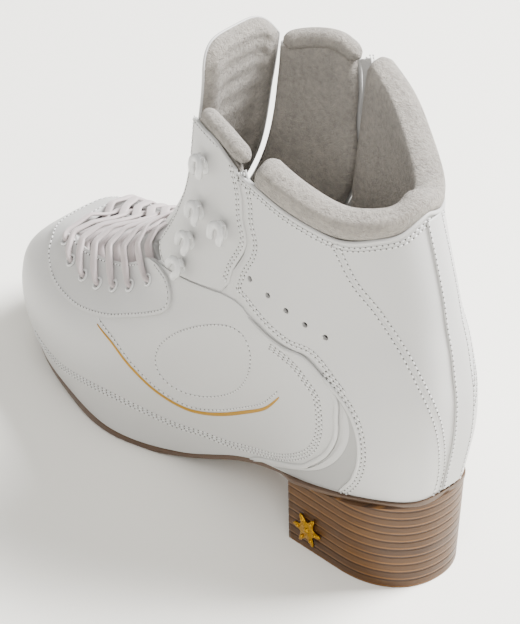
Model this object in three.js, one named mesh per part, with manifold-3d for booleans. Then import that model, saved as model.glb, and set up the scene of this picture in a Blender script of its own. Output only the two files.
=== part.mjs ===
// Figure skating boot for the left foot, shown without its blade. Millimetres, +Z up.
// While it is modelled, X runs from the back of the heel to the toe, +Y is the outside of the
// foot and Z = 0 is the floor; the finished group is then centred on its resting box.
import * as THREE from "three";
import { mergeVertices } from "three/addons/utils/BufferGeometryUtils.js";
import Module from "manifold-3d";

const wasm = await Module();
wasm.setup();

// ---------- driving dimensions ----------
const BOOT_LENGTH = 283;
const BOOT_WIDTH = 102;
const BOOT_HEIGHT = 246;
const LEATHER = 1.8;
const OVERLAY = 1.3;
const INLAY = 0.8;
const STIFFENER = 1.2;
const LINING = 1.2;
const LAYER_GAP = 0.3;
const CURVE_GAP = 0.9; // between layers that bend both ways
const SEAM_GAP = 0.003; // share of the way round the boot left between two panels
const COLLAR_DEPTH = 9;
const TONGUE_PAD = 5.5;
const TONGUE_LEATHER = 1.3;
const FLAP_PAD = 5;
const SOLE_INSET = 1;
const SOLE_HEEL_THICKNESS = 2.4;
const BOARD = 2.2;
const FOOTBED = 3.6;
const SHANK_THICKNESS = 1.2;
const SHANK_WIDTH = 13;
const HEEL_HALF_WIDTH = 29.7;
const HEEL_ROUND_LENGTH = 36;
const HEEL_BREAST_X = 68;
const HEEL_FLARE = 1.4; // how much wider the heel is at its seat than on the floor
const HEEL_LIFTS = 4;
const HEEL_BASE = 5;
const EYELET_BORE = 2.1;
const EYELET_WALL = 0.5;
const EYELET_RIM = 1;
const EYELET_RIM_THICKNESS = 0.5;
const HOLE_CLEARANCE = 0.3;
const VENT_RADIUS = 1.5;
const HOOK_WIDTH = 7;
const HOOK_PLATE = 1;
const HOOK_REACH = 5;
const HOOK_LENGTH = 12;
const LACE_RADIUS = 1.1;
const LACE_CLEARANCE = 0.35;
const HANK_LENGTH = 46;
const HANK_WIDTH = 17;
const HANK_HEIGHT = 15;
const AGLET_RADIUS = 1.4;
const AGLET_LENGTH = 18;
const EMBLEM_RADIUS = 9;
const EMBLEM_THICKNESS = 1.4;

// ---------- the shape of the boot ----------
// Rings climb the boot from the sole edge (at: 0) to the top of the tongue (at: 1.25). Each one is
// a flattened loop from a toe or shin point to a heel or calf point, both [x, z]. toeEnd and
// heelEnd blunt its two ends, sag bends it along the sole, and half holds the outer half widths
// at the SHARES of its length. inner adds to them on the inside of the foot.
const STANDARD = { length: 283, width: 102, height: 246 };
const SHARES = [0, 0.15, 0.3, 0.45, 0.6, 0.8, 1];
const RINGS = [
  { at: 0, toe: [262, 13], heel: [-1, 52], toeEnd: 0.42, heelEnd: 0.52, sag: 1,
    half: [48, 46, 43.5, 30, 26.5, 34.5, 36], inner: [0, 3, 7, 3, 1, 0, 0] },
  { at: 0.1, toe: [273, 24], heel: [-3.5, 66], toeEnd: 0.42, heelEnd: 0.52, sag: 0.92,
    half: [48, 49, 47, 35, 29, 37, 38], inner: [0, 3, 7, 3, 1, 0, 0] },
  { at: 0.2, toe: [276, 37], heel: [-6, 80], toeEnd: 0.42, heelEnd: 0.54, sag: 0.75,
    half: [47, 50, 49, 39, 33, 38.5, 40], inner: [0, 3, 6, 2, 0, 0, 0] },
  { at: 0.3, toe: [273, 50], heel: [-7.2, 94], toeEnd: 0.43, heelEnd: 0.56, sag: 0.55,
    half: [44, 46, 48, 42, 36.5, 39, 40], inner: [0, 2, 4, 1, 0, 0, 0] },
  { at: 0.38, toe: [263, 62], heel: [-7, 107], toeEnd: 0.45, heelEnd: 0.58, sag: 0.4,
    half: [39, 38, 44, 42.5, 39, 39, 39], inner: [0, 0, 0, 0, 0, 0, 0] },
  { at: 0.46, toe: [245, 74.5], heel: [-5, 119], toeEnd: 0.47, heelEnd: 0.62, sag: 0.28,
    half: [32, 31.5, 39, 42, 40, 38.5, 38], inner: [0, 0, 0, 0, 0, 0, 0] },
  { at: 0.54, toe: [222, 87], heel: [-2.8, 131], toeEnd: 0.5, heelEnd: 0.68, sag: 0.17,
    half: [26, 29, 36, 40.5, 40, 37.5, 37], inner: [0, 0, 0, 0, 0, 0, 0] },
  { at: 0.62, toe: [197, 101], heel: [0.5, 143], toeEnd: 0.5, heelEnd: 0.75, sag: 0.08,
    half: [27, 31.5, 36, 39, 39, 36.5, 35.5], inner: [0, 0, 0, 0, 0, 0, 0] },
  { at: 0.72, toe: [175, 121], heel: [3.5, 157], toeEnd: 0.5, heelEnd: 0.83, sag: 0.03,
    half: [32, 35, 37, 38, 37.5, 35.5, 34.5], inner: [0, 0, 0, 0, 0, 0, 0] },
  { at: 0.84, toe: [157, 153], heel: [9, 176], toeEnd: 0.5, heelEnd: 0.9, sag: 0,
    half: [35, 36.5, 37, 37, 36.5, 35, 34], inner: [0, 0, 0, 0, 0, 0, 0] },
  { at: 1, toe: [148, 200], heel: [16, 198], toeEnd: 0.5, heelEnd: 0.95, sag: 0,
    half: [36, 37, 37.5, 37, 36.5, 35.5, 34], inner: [0, 2, 3, 3, 3, 1, 0] },
  { at: 1.25, toe: [144, 250], heel: [21, 225], toeEnd: 0.5, heelEnd: 0.95, sag: 0,
    half: [38, 39, 40, 39, 38, 36.5, 34], inner: [0, 5, 8, 8, 6, 2, 0] },
];
// The line along which the upper meets the sole, as x and z, and the underside of the sole.
const FEATHER_X = [-10, 0, 35, 72, 91, 109, 123, 138, 151, 162, 176, 191, 207, 225, 245, 262, 285];
const FEATHER_Z = [53, 52, 45, 36, 30.5, 23.3, 16.2, 9.2, 5.7, 4.6, 4.9, 6, 7.6, 9, 11, 13.5, 18];
const SOLE_X = [72, 91, 109, 123, 138, 150, 156, 196, 210, 225, 245, 262, 285];
const SOLE_Z = [33.4, 27, 19.5, 12.4, 5.6, 1.6, 0, 0, 1.6, 4, 7.6, 10.6, 15.4];
const STRAIGHT_TO_X = 95; // forward of this the boot bends towards the big toe
const BEND = 0.00055;

const LONG = BOOT_LENGTH / STANDARD.length;
const WIDE = BOOT_WIDTH / STANDARD.width;
const TALL = BOOT_HEIGHT / STANDARD.height;

const clamp = (value, low, high) => Math.min(Math.max(value, low), high);
const mix = (a, b, t) => a + (b - a) * t;

// Slopes of a table at its own points, with the weights that uneven steps need.
function slopes(xs, ys) {
  const last = xs.length - 1;
  return xs.map((x, i) => {
    if (i === 0) return (ys[1] - ys[0]) / (xs[1] - xs[0]);
    if (i === last) return (ys[last] - ys[last - 1]) / (xs[last] - xs[last - 1]);
    const before = x - xs[i - 1];
    const after = xs[i + 1] - x;
    const rise = before * before * ys[i + 1] + (after * after - before * before) * ys[i];
    return (rise - after * after * ys[i - 1]) / (before * after * (before + after));
  });
}

// A smooth curve through a table's points.
function smoothTable(xs, ys) {
  const m = slopes(xs, ys);
  return (x) => {
    let i = 0;
    while (i < xs.length - 2 && x >= xs[i + 1]) i += 1;
    const h = xs[i + 1] - xs[i];
    const t = (x - xs[i]) / h;
    const a = (2 * t - 3) * t * t + 1;
    const b = ((t - 2) * t + 1) * t;
    const c = (3 - 2 * t) * t * t;
    const d = (t - 1) * t * t;
    return a * ys[i] + b * h * m[i] + c * ys[i + 1] + d * h * m[i + 1];
  };
}

const heights = RINGS.map((ring) => ring.at);
const ringValue = (pick) => smoothTable(heights, RINGS.map(pick));
const toeX = ringValue((ring) => ring.toe[0]);
const toeZ = ringValue((ring) => ring.toe[1]);
const heelX = ringValue((ring) => ring.heel[0]);
const heelZ = ringValue((ring) => ring.heel[1]);
const toeEnd = ringValue((ring) => ring.toeEnd);
const heelEnd = ringValue((ring) => ring.heelEnd);
const sag = ringValue((ring) => ring.sag);
const outerHalf = SHARES.map((_, i) => ringValue((ring) => ring.half[i]));
const innerHalf = SHARES.map((_, i) => ringValue((ring) => ring.half[i] + ring.inner[i]));
const featherCurve = smoothTable(FEATHER_X, FEATHER_Z);
const featherZ = (x) => featherCurve(clamp(x / LONG, FEATHER_X[0], FEATHER_X.at(-1))) * TALL;
const bendY = (x) => -BEND * Math.max(x - STRAIGHT_TO_X, 0) ** 2;

// A point of the boot's outer face. round goes from 0 at the front to 1 at the back by the
// outside of the foot and to -1 by the inside; up is the ring's place.
function surface(round, up) {
  const turn = round > 1 ? round - 2 : round < -1 ? round + 2 : round;
  const front = Math.abs(turn) < 0.5;
  const side = Math.sin(Math.PI * Math.abs(turn));
  const power = 2 / (front ? toeEnd(up) : heelEnd(up));
  const reach = Math.sqrt(Math.max(1 - side ** power, 0));
  const share = front ? (1 - reach) / 2 : (1 + reach) / 2;
  const halves = (turn < 0 ? innerHalf : outerHalf).map((half) => half(up));
  const half = smoothTable(SHARES, halves)(share);
  const x = mix(toeX(up), heelX(up), share);
  const straight = mix(RINGS[0].toe[1], RINGS[0].heel[1], (262 - x) / 263);
  const z = mix(toeZ(up), heelZ(up), share) + sag(up) * (featherCurve(clamp(x, -10, 285)) - straight);
  return new THREE.Vector3(x * LONG, (Math.sign(turn) * half * side + bendY(x)) * WIDE, z * TALL);
}

// The outward direction at a point of the outer face.
function outward(round, up) {
  const step = 0.004;
  const along = surface(round + step, up).sub(surface(round - step, up));
  const low = Math.max(up - step, 0);
  const climb = surface(round, low + 2 * step).sub(surface(round, low));
  return along.cross(climb).normalize();
}

// A point at a distance off the outer face, inwards when it is negative.
const offFace = ([round, up, off]) => surface(round, up).addScaledVector(outward(round, up), off);

// ---------- solids ----------
// A body made of equal loops of points. Each loop runs out along one row and back along another
// of the same length, so its two ends are closed by a strip between the rows.
function loft(loops) {
  const count = loops[0].length;
  const index = [];
  for (let i = 0; i + 1 < loops.length; i += 1) {
    for (let j = 0; j < count; j += 1) {
      const a = i * count + j;
      const b = i * count + ((j + 1) % count);
      index.push(a, b, a + count, b, b + count, a + count);
    }
  }
  const end = (loops.length - 1) * count;
  for (let j = 0; j + 1 < count / 2; j += 1) {
    const [a, b, c, d] = [j, j + 1, count - 2 - j, count - 1 - j];
    index.push(a, c, b, a, d, c);
    index.push(end + a, end + b, end + c, end + a, end + c, end + d);
  }
  const made = new THREE.BufferGeometry().setFromPoints(loops.flat());
  made.setIndex(index);
  return facingOut(made);
}

// The same geometry with its faces turned out, if they point in.
function facingOut(geometry) {
  const p = geometry.getAttribute("position");
  const index = geometry.index.array;
  const corner = (i) => new THREE.Vector3().fromBufferAttribute(p, i);
  let volume = 0;
  for (let i = 0; i < index.length; i += 3) {
    volume += corner(index[i]).dot(corner(index[i + 1]).cross(corner(index[i + 2])));
  }
  if (volume < 0) {
    const turned = Array.from(index);
    for (let i = 0; i < turned.length; i += 3) {
      [turned[i + 1], turned[i + 2]] = [turned[i + 2], turned[i + 1]];
    }
    geometry.setIndex(turned);
  }
  return geometry;
}

// A sheet that follows the outer face. place(along, across) gives [round, up] for shares 0 to 1,
// and the sheet fills the space between the two offsets.
function sheet(place, alongSteps, acrossSteps, outer, inner) {
  const loops = [];
  for (let i = 0; i <= alongSteps; i += 1) {
    const row = [];
    for (let j = 0; j <= acrossSteps; j += 1) row.push(place(i / alongSteps, j / acrossSteps));
    const top = row.map(([round, up]) => offFace([round, up, outer]));
    const under = row.map(([round, up]) => offFace([round, up, inner])).reverse();
    loops.push([...top, ...under]);
  }
  return loft(loops);
}

// A smooth line through [round, up] points, read by share of its length.
function line(points) {
  const spline = new THREE.SplineCurve(points.map((p) => new THREE.Vector2(...p)));
  return (t) => spline.getPointAt(clamp(t, 0, 1)).toArray();
}

// The patch between four lines: front and back run upwards, bottom and top run backwards.
function patch(front, back, bottom, top) {
  return (along, across) => [0, 1].map((k) => {
    const sides = mix(front(across)[k], back(across)[k], along);
    const ends = mix(bottom(along)[k], top(along)[k], across);
    const low = mix(front(0)[k], back(0)[k], along);
    const high = mix(front(1)[k], back(1)[k], along);
    return sides + ends - mix(low, high, across);
  });
}

const straight = (a, b) => (t) => [mix(a[0], b[0], t), mix(a[1], b[1], t)];
const mirrored = (place) => (along, across) => {
  const [round, up] = place(along, across);
  return [-round, up];
};
const lifted = (place, rise) => (along, across) => {
  const [round, up] = place(along, across);
  return [round, up + rise(round)];
};

const solidOf = (geometry) => {
  const bare = geometry.clone();
  bare.deleteAttribute("normal");
  bare.deleteAttribute("uv");
  const merged = mergeVertices(bare, 1e-4);
  return new wasm.Manifold(new wasm.Mesh({
    numProp: 3,
    vertProperties: new Float32Array(merged.getAttribute("position").array),
    triVerts: new Uint32Array(merged.index.array),
  }));
};

const geometryOf = (solid) => {
  const mesh = solid.getMesh();
  const made = new THREE.BufferGeometry();
  made.setAttribute("position", new THREE.BufferAttribute(new Float32Array(mesh.vertProperties), 3));
  made.setIndex(Array.from(mesh.triVerts));
  return made;
};

const cutBy = (geometry, tools) =>
  geometryOf(tools.reduce((solid, tool) => solid.subtract(solidOf(tool)), solidOf(geometry)));

// Turns and moves a geometry so that its +Z follows the outward direction at a place on the boot
// and its +X points up the boot.
function seat(geometry, [round, up], off) {
  const z = outward(round, up);
  const climb = surface(round, up + 0.01).sub(surface(round, up - 0.01));
  const x = climb.addScaledVector(z, -climb.dot(z)).normalize();
  const y = new THREE.Vector3().crossVectors(z, x);
  const frame = new THREE.Matrix4().makeBasis(x, y, z).setPosition(offFace([round, up, off]));
  return geometry.applyMatrix4(frame);
}

// ---------- materials and nodes ----------
const finish = (color, roughness, metalness = 0) => () =>
  new THREE.MeshStandardMaterial({ color, roughness, metalness, side: THREE.DoubleSide });
const whiteLeather = finish("#eceae6", 0.42);
const suede = finish("#cfc8bf", 0.95);
const boardMaterial = finish("#b59a72", 0.9);
const stiffMaterial = finish("#d8cfc0", 0.7);
const soleLeather = finish("#5b3a20", 0.55);
const stackedLeather = finish("#8a5a2b", 0.6);
const whiteMetal = finish("#efeeec", 0.35, 0.1);
const steel = finish("#b9bcc0", 0.35, 1);
const gold = finish("#c59a36", 0.3, 1);
const laceMaterial = finish("#e5dcdb", 0.85);
const clearPlastic = finish("#e9e6e0", 0.3);

const boot = new THREE.Group();
function add(name, geometry, material) {
  const mesh = new THREE.Mesh(geometry, material());
  mesh.name = name;
  boot.add(mesh);
}

// ---------- lines of the pattern, as [round, up] ----------
const THROAT = [[0, 0.475], [0.1, 0.475], [0.19, 0.472], [0.255, 0.468], [0.3, 0.485], [0.325, 0.53],
  [0.325, 0.58], [0.318, 0.612]];
const PATCH_EDGE = [[0, 0.405], [0.13, 0.408], [0.212, 0.4], [0.273, 0.364], [0.325, 0.336], [0.37, 0.342],
  [0.402, 0.38], [0.422, 0.428], [0.442, 0.505], [0.425, 0.56], [0.385, 0.606], [0.345, 0.622]];
const FLAP_FRONT = [[0.352, 0.632], [0.305, 0.668], [0.272, 0.71], [0.262, 0.8], [0.262, 0.9], [0.25, 1.0]];
const FLAP_BACK = [[0.468, 0.664], [0.47, 0.7], [0.466, 0.75], [0.474, 0.82], [0.458, 0.88], [0.452, 0.93],
  [0.437, 0.985]];
const FRONT_REAR = [[0.474, 0.655], [0.505, 0.643], [0.536, 0.606], [0.6, 0.526], [0.638, 0.5], [0.68, 0.4],
  [0.686, 0.318], [0.686, 0.242], [0.673, 0.162], [0.651, 0.098], [0.63, 0.06], [0.56, 0]];
const QUARTER_FRONT = [[0.567, 0], [0.637, 0.06], [0.658, 0.098], [0.68, 0.162], [0.693, 0.242], [0.693, 0.318],
  [0.687, 0.402], [0.645, 0.508], [0.607, 0.534], [0.543, 0.614], [0.513, 0.652], [0.485, 0.685], [0.475, 0.75],
  [0.482, 0.82], [0.466, 0.88], [0.46, 0.93], [0.445, 0.982]];
const BACK_SEAM = [[0.955, 0], [0.958, 0.103], [0.918, 0.29], [0.884, 0.382], [0.852, 0.475], [0.815, 0.588],
  [0.765, 0.712], [0.714, 0.798], [0.675, 0.905]];
const COLLAR_EDGE = [[0.445, 0.982], [0.54, 0.95], [0.61, 0.93], [0.675, 0.912], [0.72, 0.912], [0.79, 0.928],
  [0.867, 0.945], [0.938, 0.978], [1, 1]];
const CRESCENT_REAR = [[0.687, 0.004], [0.71, 0.082], [0.72, 0.2], [0.708, 0.33], [0.664, 0.455]];
const CRESCENT_FRONT = [[0.59, 0.004], [0.661, 0.082], [0.698, 0.2], [0.7, 0.33], [0.66, 0.45]];
const COLLAR_RISE = 0.065; // from the leather's edge to the crest of the padded collar
const COLLAR_APRON = 0.74; // lowest edge of the collar's lining

const collarEdge = line(COLLAR_EDGE);
// The inner side of the shaft stands higher than the outer, most of all beside the tongue.
const innerRise = (round) => {
  const near = clamp((0.97 - Math.abs(round > 1 ? 2 - round : round)) / 0.4, 0, 1);
  return 0.14 * near * near * (3 - 2 * near);
};
const collarUp = (round) => {
  const side = round > 1 ? 2 - round : round;
  let low = 0;
  let high = 1;
  for (let i = 0; i < 24; i += 1) {
    const half = (low + high) / 2;
    if (collarEdge(half)[0] < side) low = half;
    else high = half;
  }
  return collarEdge(low)[1] + (round > 1 ? innerRise(round) : 0);
};

// ---------- sole and heel ----------
const soleCurve = smoothTable(SOLE_X, SOLE_Z);
const soleZ = (x) => {
  const at = x / LONG;
  if (at < SOLE_X[0]) return featherZ(x) - LAYER_GAP - SOLE_HEEL_THICKNESS;
  const flat = at >= 156 && at <= 196;
  return flat ? 0 : Math.max(soleCurve(at), 0) * TALL;
};

// A layer with the boot's footprint, between two heights that are read along X.
function footLayer(inset, from, to, bottom, top, steps) {
  const edge = (round) => {
    const p = surface(round, 0);
    const n = outward(round, 0).setZ(0).normalize();
    return p.addScaledVector(n, -inset);
  };
  const loops = [];
  for (let i = 0; i <= steps; i += 1) {
    const round = mix(from, to, i / steps);
    const outer = edge(round);
    const inner = edge(-round);
    const x = (outer.x + inner.x) / 2;
    loops.push([[inner.y, top(x)], [outer.y, top(x)], [outer.y, bottom(x)], [inner.y, bottom(x)]]
      .map(([y, z]) => new THREE.Vector3(x, y, z)));
  }
  return loft(loops);
}

const above = (rise) => (x) => featherZ(x) + rise;
add("outsole", footLayer(SOLE_INSET, 0.05, 0.95, soleZ, above(-LAYER_GAP), 36), soleLeather);

const LINED = LEATHER + STIFFENER + LINING + 3 * CURVE_GAP;
const FILLER_TOP = 2;
const BOARD_BASE = FILLER_TOP + LAYER_GAP;
const FOOTBED_BASE = BOARD_BASE + BOARD + LAYER_GAP;
add("cork_filler", footLayer(LINED + 2, 0.16, 0.44, above(0), above(FILLER_TOP), 12), boardMaterial);
add("insole_board", footLayer(LINED, 0.08, 0.92, above(BOARD_BASE), above(BOARD_BASE + BOARD), 22), boardMaterial);
add("footbed", footLayer(LINED + 0.6, 0.1, 0.9, above(FOOTBED_BASE), above(FOOTBED_BASE + FOOTBED), 22), suede);

// Steel strip that stiffens the waist, between the sole and the insole board.
function shank() {
  const loops = [];
  const [first, last] = [40 * LONG, 146 * LONG];
  for (let i = 0; i <= 12; i += 1) {
    const x = mix(first, last, i / 12);
    const low = featherZ(x) + LAYER_GAP;
    const high = low + SHANK_THICKNESS;
    const half = SHANK_WIDTH / 2;
    loops.push([[-half, high], [half, high], [half, low], [-half, low]].map(([y, z]) => new THREE.Vector3(x, y, z)));
  }
  return loft(loops);
}
add("steel_shank", shank(), steel);

// The heel's outline: straight sides, a flat breast and a round back.
const HEEL_STEPS = 16;
function heelShape(grow) {
  const half = (HEEL_HALF_WIDTH + grow) * WIDE;
  const back = HEEL_ROUND_LENGTH;
  const shape = new THREE.Shape();
  shape.moveTo(HEEL_BREAST_X * LONG, half);
  for (let i = 0; i <= HEEL_STEPS; i += 1) {
    const angle = Math.PI / 2 - (Math.PI * i) / HEEL_STEPS;
    const [c, s] = [Math.cos(angle), Math.sin(angle)];
    const bulge = 0.91; // a little squarer than an ellipse
    shape.lineTo(back - (back + grow) * Math.abs(c) ** bulge, Math.sign(s) * half * Math.abs(s) ** bulge);
  }
  shape.lineTo(HEEL_BREAST_X * LONG, -half);
  return shape;
}

const HEEL_STACK = 30 * TALL;
const growAt = (z) => (HEEL_FLARE * z) / HEEL_STACK;
function heelLayer(low, high) {
  const layer = new THREE.ExtrudeGeometry(heelShape(growAt((low + high) / 2)), {
    depth: high - low,
    bevelEnabled: false,
  });
  return layer.translate(0, 0, low);
}

// The top lift is a wedge, level below and following the sole above.
function heelSeat() {
  const wedge = heelLayer(HEEL_STACK, HEEL_STACK + 1);
  const p = wedge.getAttribute("position");
  for (let i = 0; i < p.count; i += 1) {
    if (p.getZ(i) > HEEL_STACK + 0.5) p.setZ(i, seatZ(p.getX(i)));
  }
  return wedge;
}
const seatLine = [0, 35 * LONG, HEEL_BREAST_X * LONG].map((x) => [x, soleZ(x) - LAYER_GAP]);
function seatZ(x) {
  const [low, , high] = seatLine;
  const under = seatLine.map(([px, pz]) => pz - mix(low[1], high[1], (px - low[0]) / (high[0] - low[0])));
  return mix(low[1], high[1], (x - low[0]) / (high[0] - low[0])) + Math.min(...under, 0);
}

add("heel_top_piece", heelLayer(0, HEEL_BASE), stackedLeather);
for (let i = 0; i < HEEL_LIFTS; i += 1) {
  const low = mix(HEEL_BASE, HEEL_STACK, i / HEEL_LIFTS);
  const high = mix(HEEL_BASE, HEEL_STACK, (i + 1) / HEEL_LIFTS);
  add(`heel_lift_${i + 1}`, heelLayer(low, high), stackedLeather);
}
add("heel_seat_wedge", heelSeat(), stackedLeather);

// Six-pointed metal ornament on the outer side of the heel.
function heelEmblem() {
  const star = new THREE.Shape();
  for (let i = 0; i < 12; i += 1) {
    const radius = i % 2 ? EMBLEM_RADIUS * 0.5 : EMBLEM_RADIUS;
    const angle = (Math.PI * i) / 6;
    const [x, y] = [radius * Math.cos(angle), radius * Math.sin(angle)];
    if (i === 0) star.moveTo(x, y);
    else star.lineTo(x, y);
  }
  star.closePath();
  const plate = new THREE.ExtrudeGeometry(star, { depth: EMBLEM_THICKNESS, bevelEnabled: false });
  const side = (HEEL_HALF_WIDTH + growAt(HEEL_STACK)) * WIDE + LAYER_GAP;
  return plate.rotateX(-Math.PI / 2).translate(HEEL_BREAST_X * LONG * 0.8, side, HEEL_STACK * 0.45);
}
add("heel_emblem", heelEmblem(), gold);

// ---------- the upper's layers ----------
const INNER_FACE = -LEATHER;
const STIFF_OUTER = INNER_FACE - CURVE_GAP;
const STIFF_INNER = STIFF_OUTER - STIFFENER;
const LINING_OUTER = STIFF_INNER - CURVE_GAP;
const LINING_INNER = LINING_OUTER - LINING;

const throat = line([...THROAT, [0.34, 0.622], [0.4, 0.635], FRONT_REAR[0]]);
const rearEdge = line(FRONT_REAR);
// The front panel wraps the toe. across runs from the throat (0) down to the sole edge (1).
const frontPanel = (along, across) => {
  const side = along * 2 - 1;
  const reach = Math.abs(side);
  const [innerRound, innerUp] = throat(reach);
  const sole = FRONT_REAR.at(-1)[0] * reach;
  const [endRound, endUp] = rearEdge(across);
  const push = reach ** 3;
  const flatRound = mix(FRONT_REAR[0][0], FRONT_REAR.at(-1)[0], across);
  const flatUp = mix(FRONT_REAR[0][1], 0, across);
  const round = mix(innerRound, sole, across) + push * (endRound - flatRound);
  const up = mix(innerUp, 0, across) + push * (endUp - flatUp);
  return [Math.sign(side) * round, up];
};

const EYELETS = [[0.233, 0.44], [0.3, 0.415], [0.338, 0.412], [0.36, 0.43], [0.373, 0.462], [0.38, 0.5],
  [0.378, 0.556]];
const VENTS = [[0.498, 0.738], [0.543, 0.705], [0.585, 0.668], [0.623, 0.63], [0.66, 0.598]];
const bothSides = (points) => [...points, ...points.map(([round, up]) => [-round, up])];
const HOLE_SIDES = 8;
const punch = (radius, place) => seat(new THREE.CylinderGeometry(radius, radius, 14, HOLE_SIDES).rotateX(Math.PI / 2), place, 0);
const eyeletHole = EYELET_BORE + EYELET_WALL + HOLE_CLEARANCE;
const eyeletPunches = () => bothSides(EYELETS).map((place) => punch(eyeletHole, place));

add("front_panel", cutBy(sheet(frontPanel, 44, 7, 0, INNER_FACE), eyeletPunches()), whiteLeather);

const patchInner = line([...THROAT, [0.33, 0.618]]);
const patchOuter = line(PATCH_EDGE);
const eyeletPatch = (along, across) => {
  const side = along * 2 - 1;
  const [a, b] = [patchInner(Math.abs(side)), patchOuter(Math.abs(side))];
  return [Math.sign(side) * mix(a[0], b[0], across), mix(a[1], b[1], across)];
};
const OVERLAY_TOP = CURVE_GAP + OVERLAY;
add("eyelet_patch", cutBy(sheet(eyeletPatch, 40, 2, OVERLAY_TOP, CURVE_GAP), eyeletPunches()), whiteLeather);

const SEAM_STEPS = 12; // the same for all pieces that meet at the back seams
const quarterPlace = patch(line(QUARTER_FRONT), line(BACK_SEAM),
  straight(QUARTER_FRONT[0], BACK_SEAM[0]), line([...COLLAR_EDGE.slice(0, 3), BACK_SEAM.at(-1)]));
const seamLine = line(BACK_SEAM);
const backTop = line([BACK_SEAM.at(-1), ...COLLAR_EDGE.slice(4),
  ...COLLAR_EDGE.slice(4, -1).reverse().map(([round, up]) => [2 - round, up]), [2 - BACK_SEAM.at(-1)[0], 0.905]]);
const past = SEAM_GAP;
const backPlace = patch(
  (t) => [seamLine(t)[0] + past, seamLine(t)[1]],
  (t) => [2 - seamLine(t)[0] - past, seamLine(t)[1]],
  straight([BACK_SEAM[0][0] + past, 0], [2 - BACK_SEAM[0][0] - past, 0]),
  (t) => backTop(t),
);
const riseShare = (place, side) => (along, across) => {
  const [round, up] = place(along, across);
  const turn = round > 1 ? round : round * side;
  const high = clamp((up - COLLAR_APRON) / 0.2, 0, 1);
  const rise = turn > 1 || side < 0 ? innerRise(round) * high : 0;
  return [turn, up + rise];
};
const ventPunches = (side) => VENTS.map(([round, up]) => punch(VENT_RADIUS, [round * side, up]));

for (const [name, side] of [["outer", 1], ["inner", -1]]) {
  const quarter = sheet(riseShare(quarterPlace, side), 6, SEAM_STEPS, 0, INNER_FACE);
  add(`${name}_quarter`, cutBy(quarter, ventPunches(side)), whiteLeather);
}
add("back_panel", sheet(riseShare(backPlace, 1), 8, SEAM_STEPS, 0, INNER_FACE), whiteLeather);

const crescent = patch(line(CRESCENT_FRONT), line(CRESCENT_REAR),
  straight(CRESCENT_FRONT[0], CRESCENT_REAR[0]), straight(CRESCENT_FRONT.at(-1), CRESCENT_REAR.at(-1)));
add("outer_crescent_inlay", sheet(crescent, 3, 12, CURVE_GAP + INLAY, CURVE_GAP), whiteLeather);
add("inner_crescent_inlay", sheet(mirrored(crescent), 3, 12, CURVE_GAP + INLAY, CURVE_GAP), whiteLeather);

const STRAP = [0.985, 1.085];
add("back_strap", sheet((along, across) => [mix(...STRAP, along), mix(0.012, 0.975, across)], 3, 14,
  OVERLAY_TOP, CURVE_GAP), whiteLeather);

const block = (r0, r1, u0, u1) => (along, across) => [mix(r0, r1, along), mix(u0, u1, across)];
add("toe_puff", sheet(block(-0.3, 0.3, 0.05, 0.35), 14, 4, STIFF_OUTER, STIFF_INNER), stiffMaterial);
add("heel_counter", sheet(block(0.71, 1.29, 0.06, 0.5), 14, 5, STIFF_OUTER, STIFF_INNER), stiffMaterial);
add("vamp_lining", sheet(block(-0.49, 0.49, 0.03, 0.39), 20, 4, LINING_OUTER, LINING_INNER), suede);
add("quarter_lining", sheet(block(0.5, 1.5, 0.03, 0.72), 18, 6, LINING_OUTER, LINING_INNER), suede);

// ---------- padded collar ----------
function collarLoop(round) {
  const edge = collarUp(round);
  const base = edge + 0.006;
  const crest = edge + COLLAR_RISE;
  const deep = -(LEATHER + COLLAR_DEPTH);
  const under = INNER_FACE - CURVE_GAP;
  const climb = [0, 0.25, 0.5, 0.75, 1].map((t) => mix(COLLAR_APRON, base, t));
  const outside = [...climb.map((up) => [up, under]), [base, 0], [mix(base, crest, 0.5), 0.8], [crest - 0.014, -0.3]];
  const inside = [...climb.map((up, i) => [up, i ? deep : deep + 3]), [mix(base, crest, 0.4), deep],
    [mix(base, crest, 0.75), deep + 1.5], [crest, -5]];
  return [...outside, ...inside.reverse()].map(([up, off]) => [round, up, off]);
}
const COLLAR_FROM = 0.484; // clear of the hinging flaps
function paddedCollar() {
  const loops = [];
  for (let i = 0; i <= 18; i += 1) {
    const round = mix(COLLAR_FROM, 2 - COLLAR_FROM, i / 18);
    loops.push(collarLoop(round).map(offFace));
  }
  return loft(loops);
}
add("padded_collar", paddedCollar(), suede);

// ---------- ankle flaps that carry the hooks ----------
const FLAP_TOP = [[0.25, 1.0], [0.32, 1.012], [0.38, 1.015], [0.437, 0.985]];
const flapPlace = patch(line(FLAP_FRONT), line(FLAP_BACK),
  line([FLAP_FRONT[0], [0.4, 0.64], FLAP_BACK[0]]), line(FLAP_TOP));
const innerFlapRise = (round, up) => 0.13 * clamp((up - COLLAR_APRON) / 0.25, 0, 1) * clamp(Math.abs(round) / 0.4, 0, 1);
const flapOn = (side) => (along, across) => {
  const [round, up] = flapPlace(along, across);
  return side > 0 ? [round, up] : [-round, up + innerFlapRise(round, up)];
};
const shrunk = (place, u0, u1, v0, v1) => (along, across) => place(mix(u0, u1, along), mix(v0, v1, across));
for (const [name, side] of [["outer", 1], ["inner", -1]]) {
  add(`${name}_ankle_flap`, sheet(flapOn(side), 5, 8, 0, INNER_FACE), whiteLeather);
  add(`${name}_flap_padding`, sheet(shrunk(flapOn(side), 0.06, 0.9, 0.1, 0.98), 5, 6, INNER_FACE - CURVE_GAP,
    INNER_FACE - CURVE_GAP - FLAP_PAD), suede);
}

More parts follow.
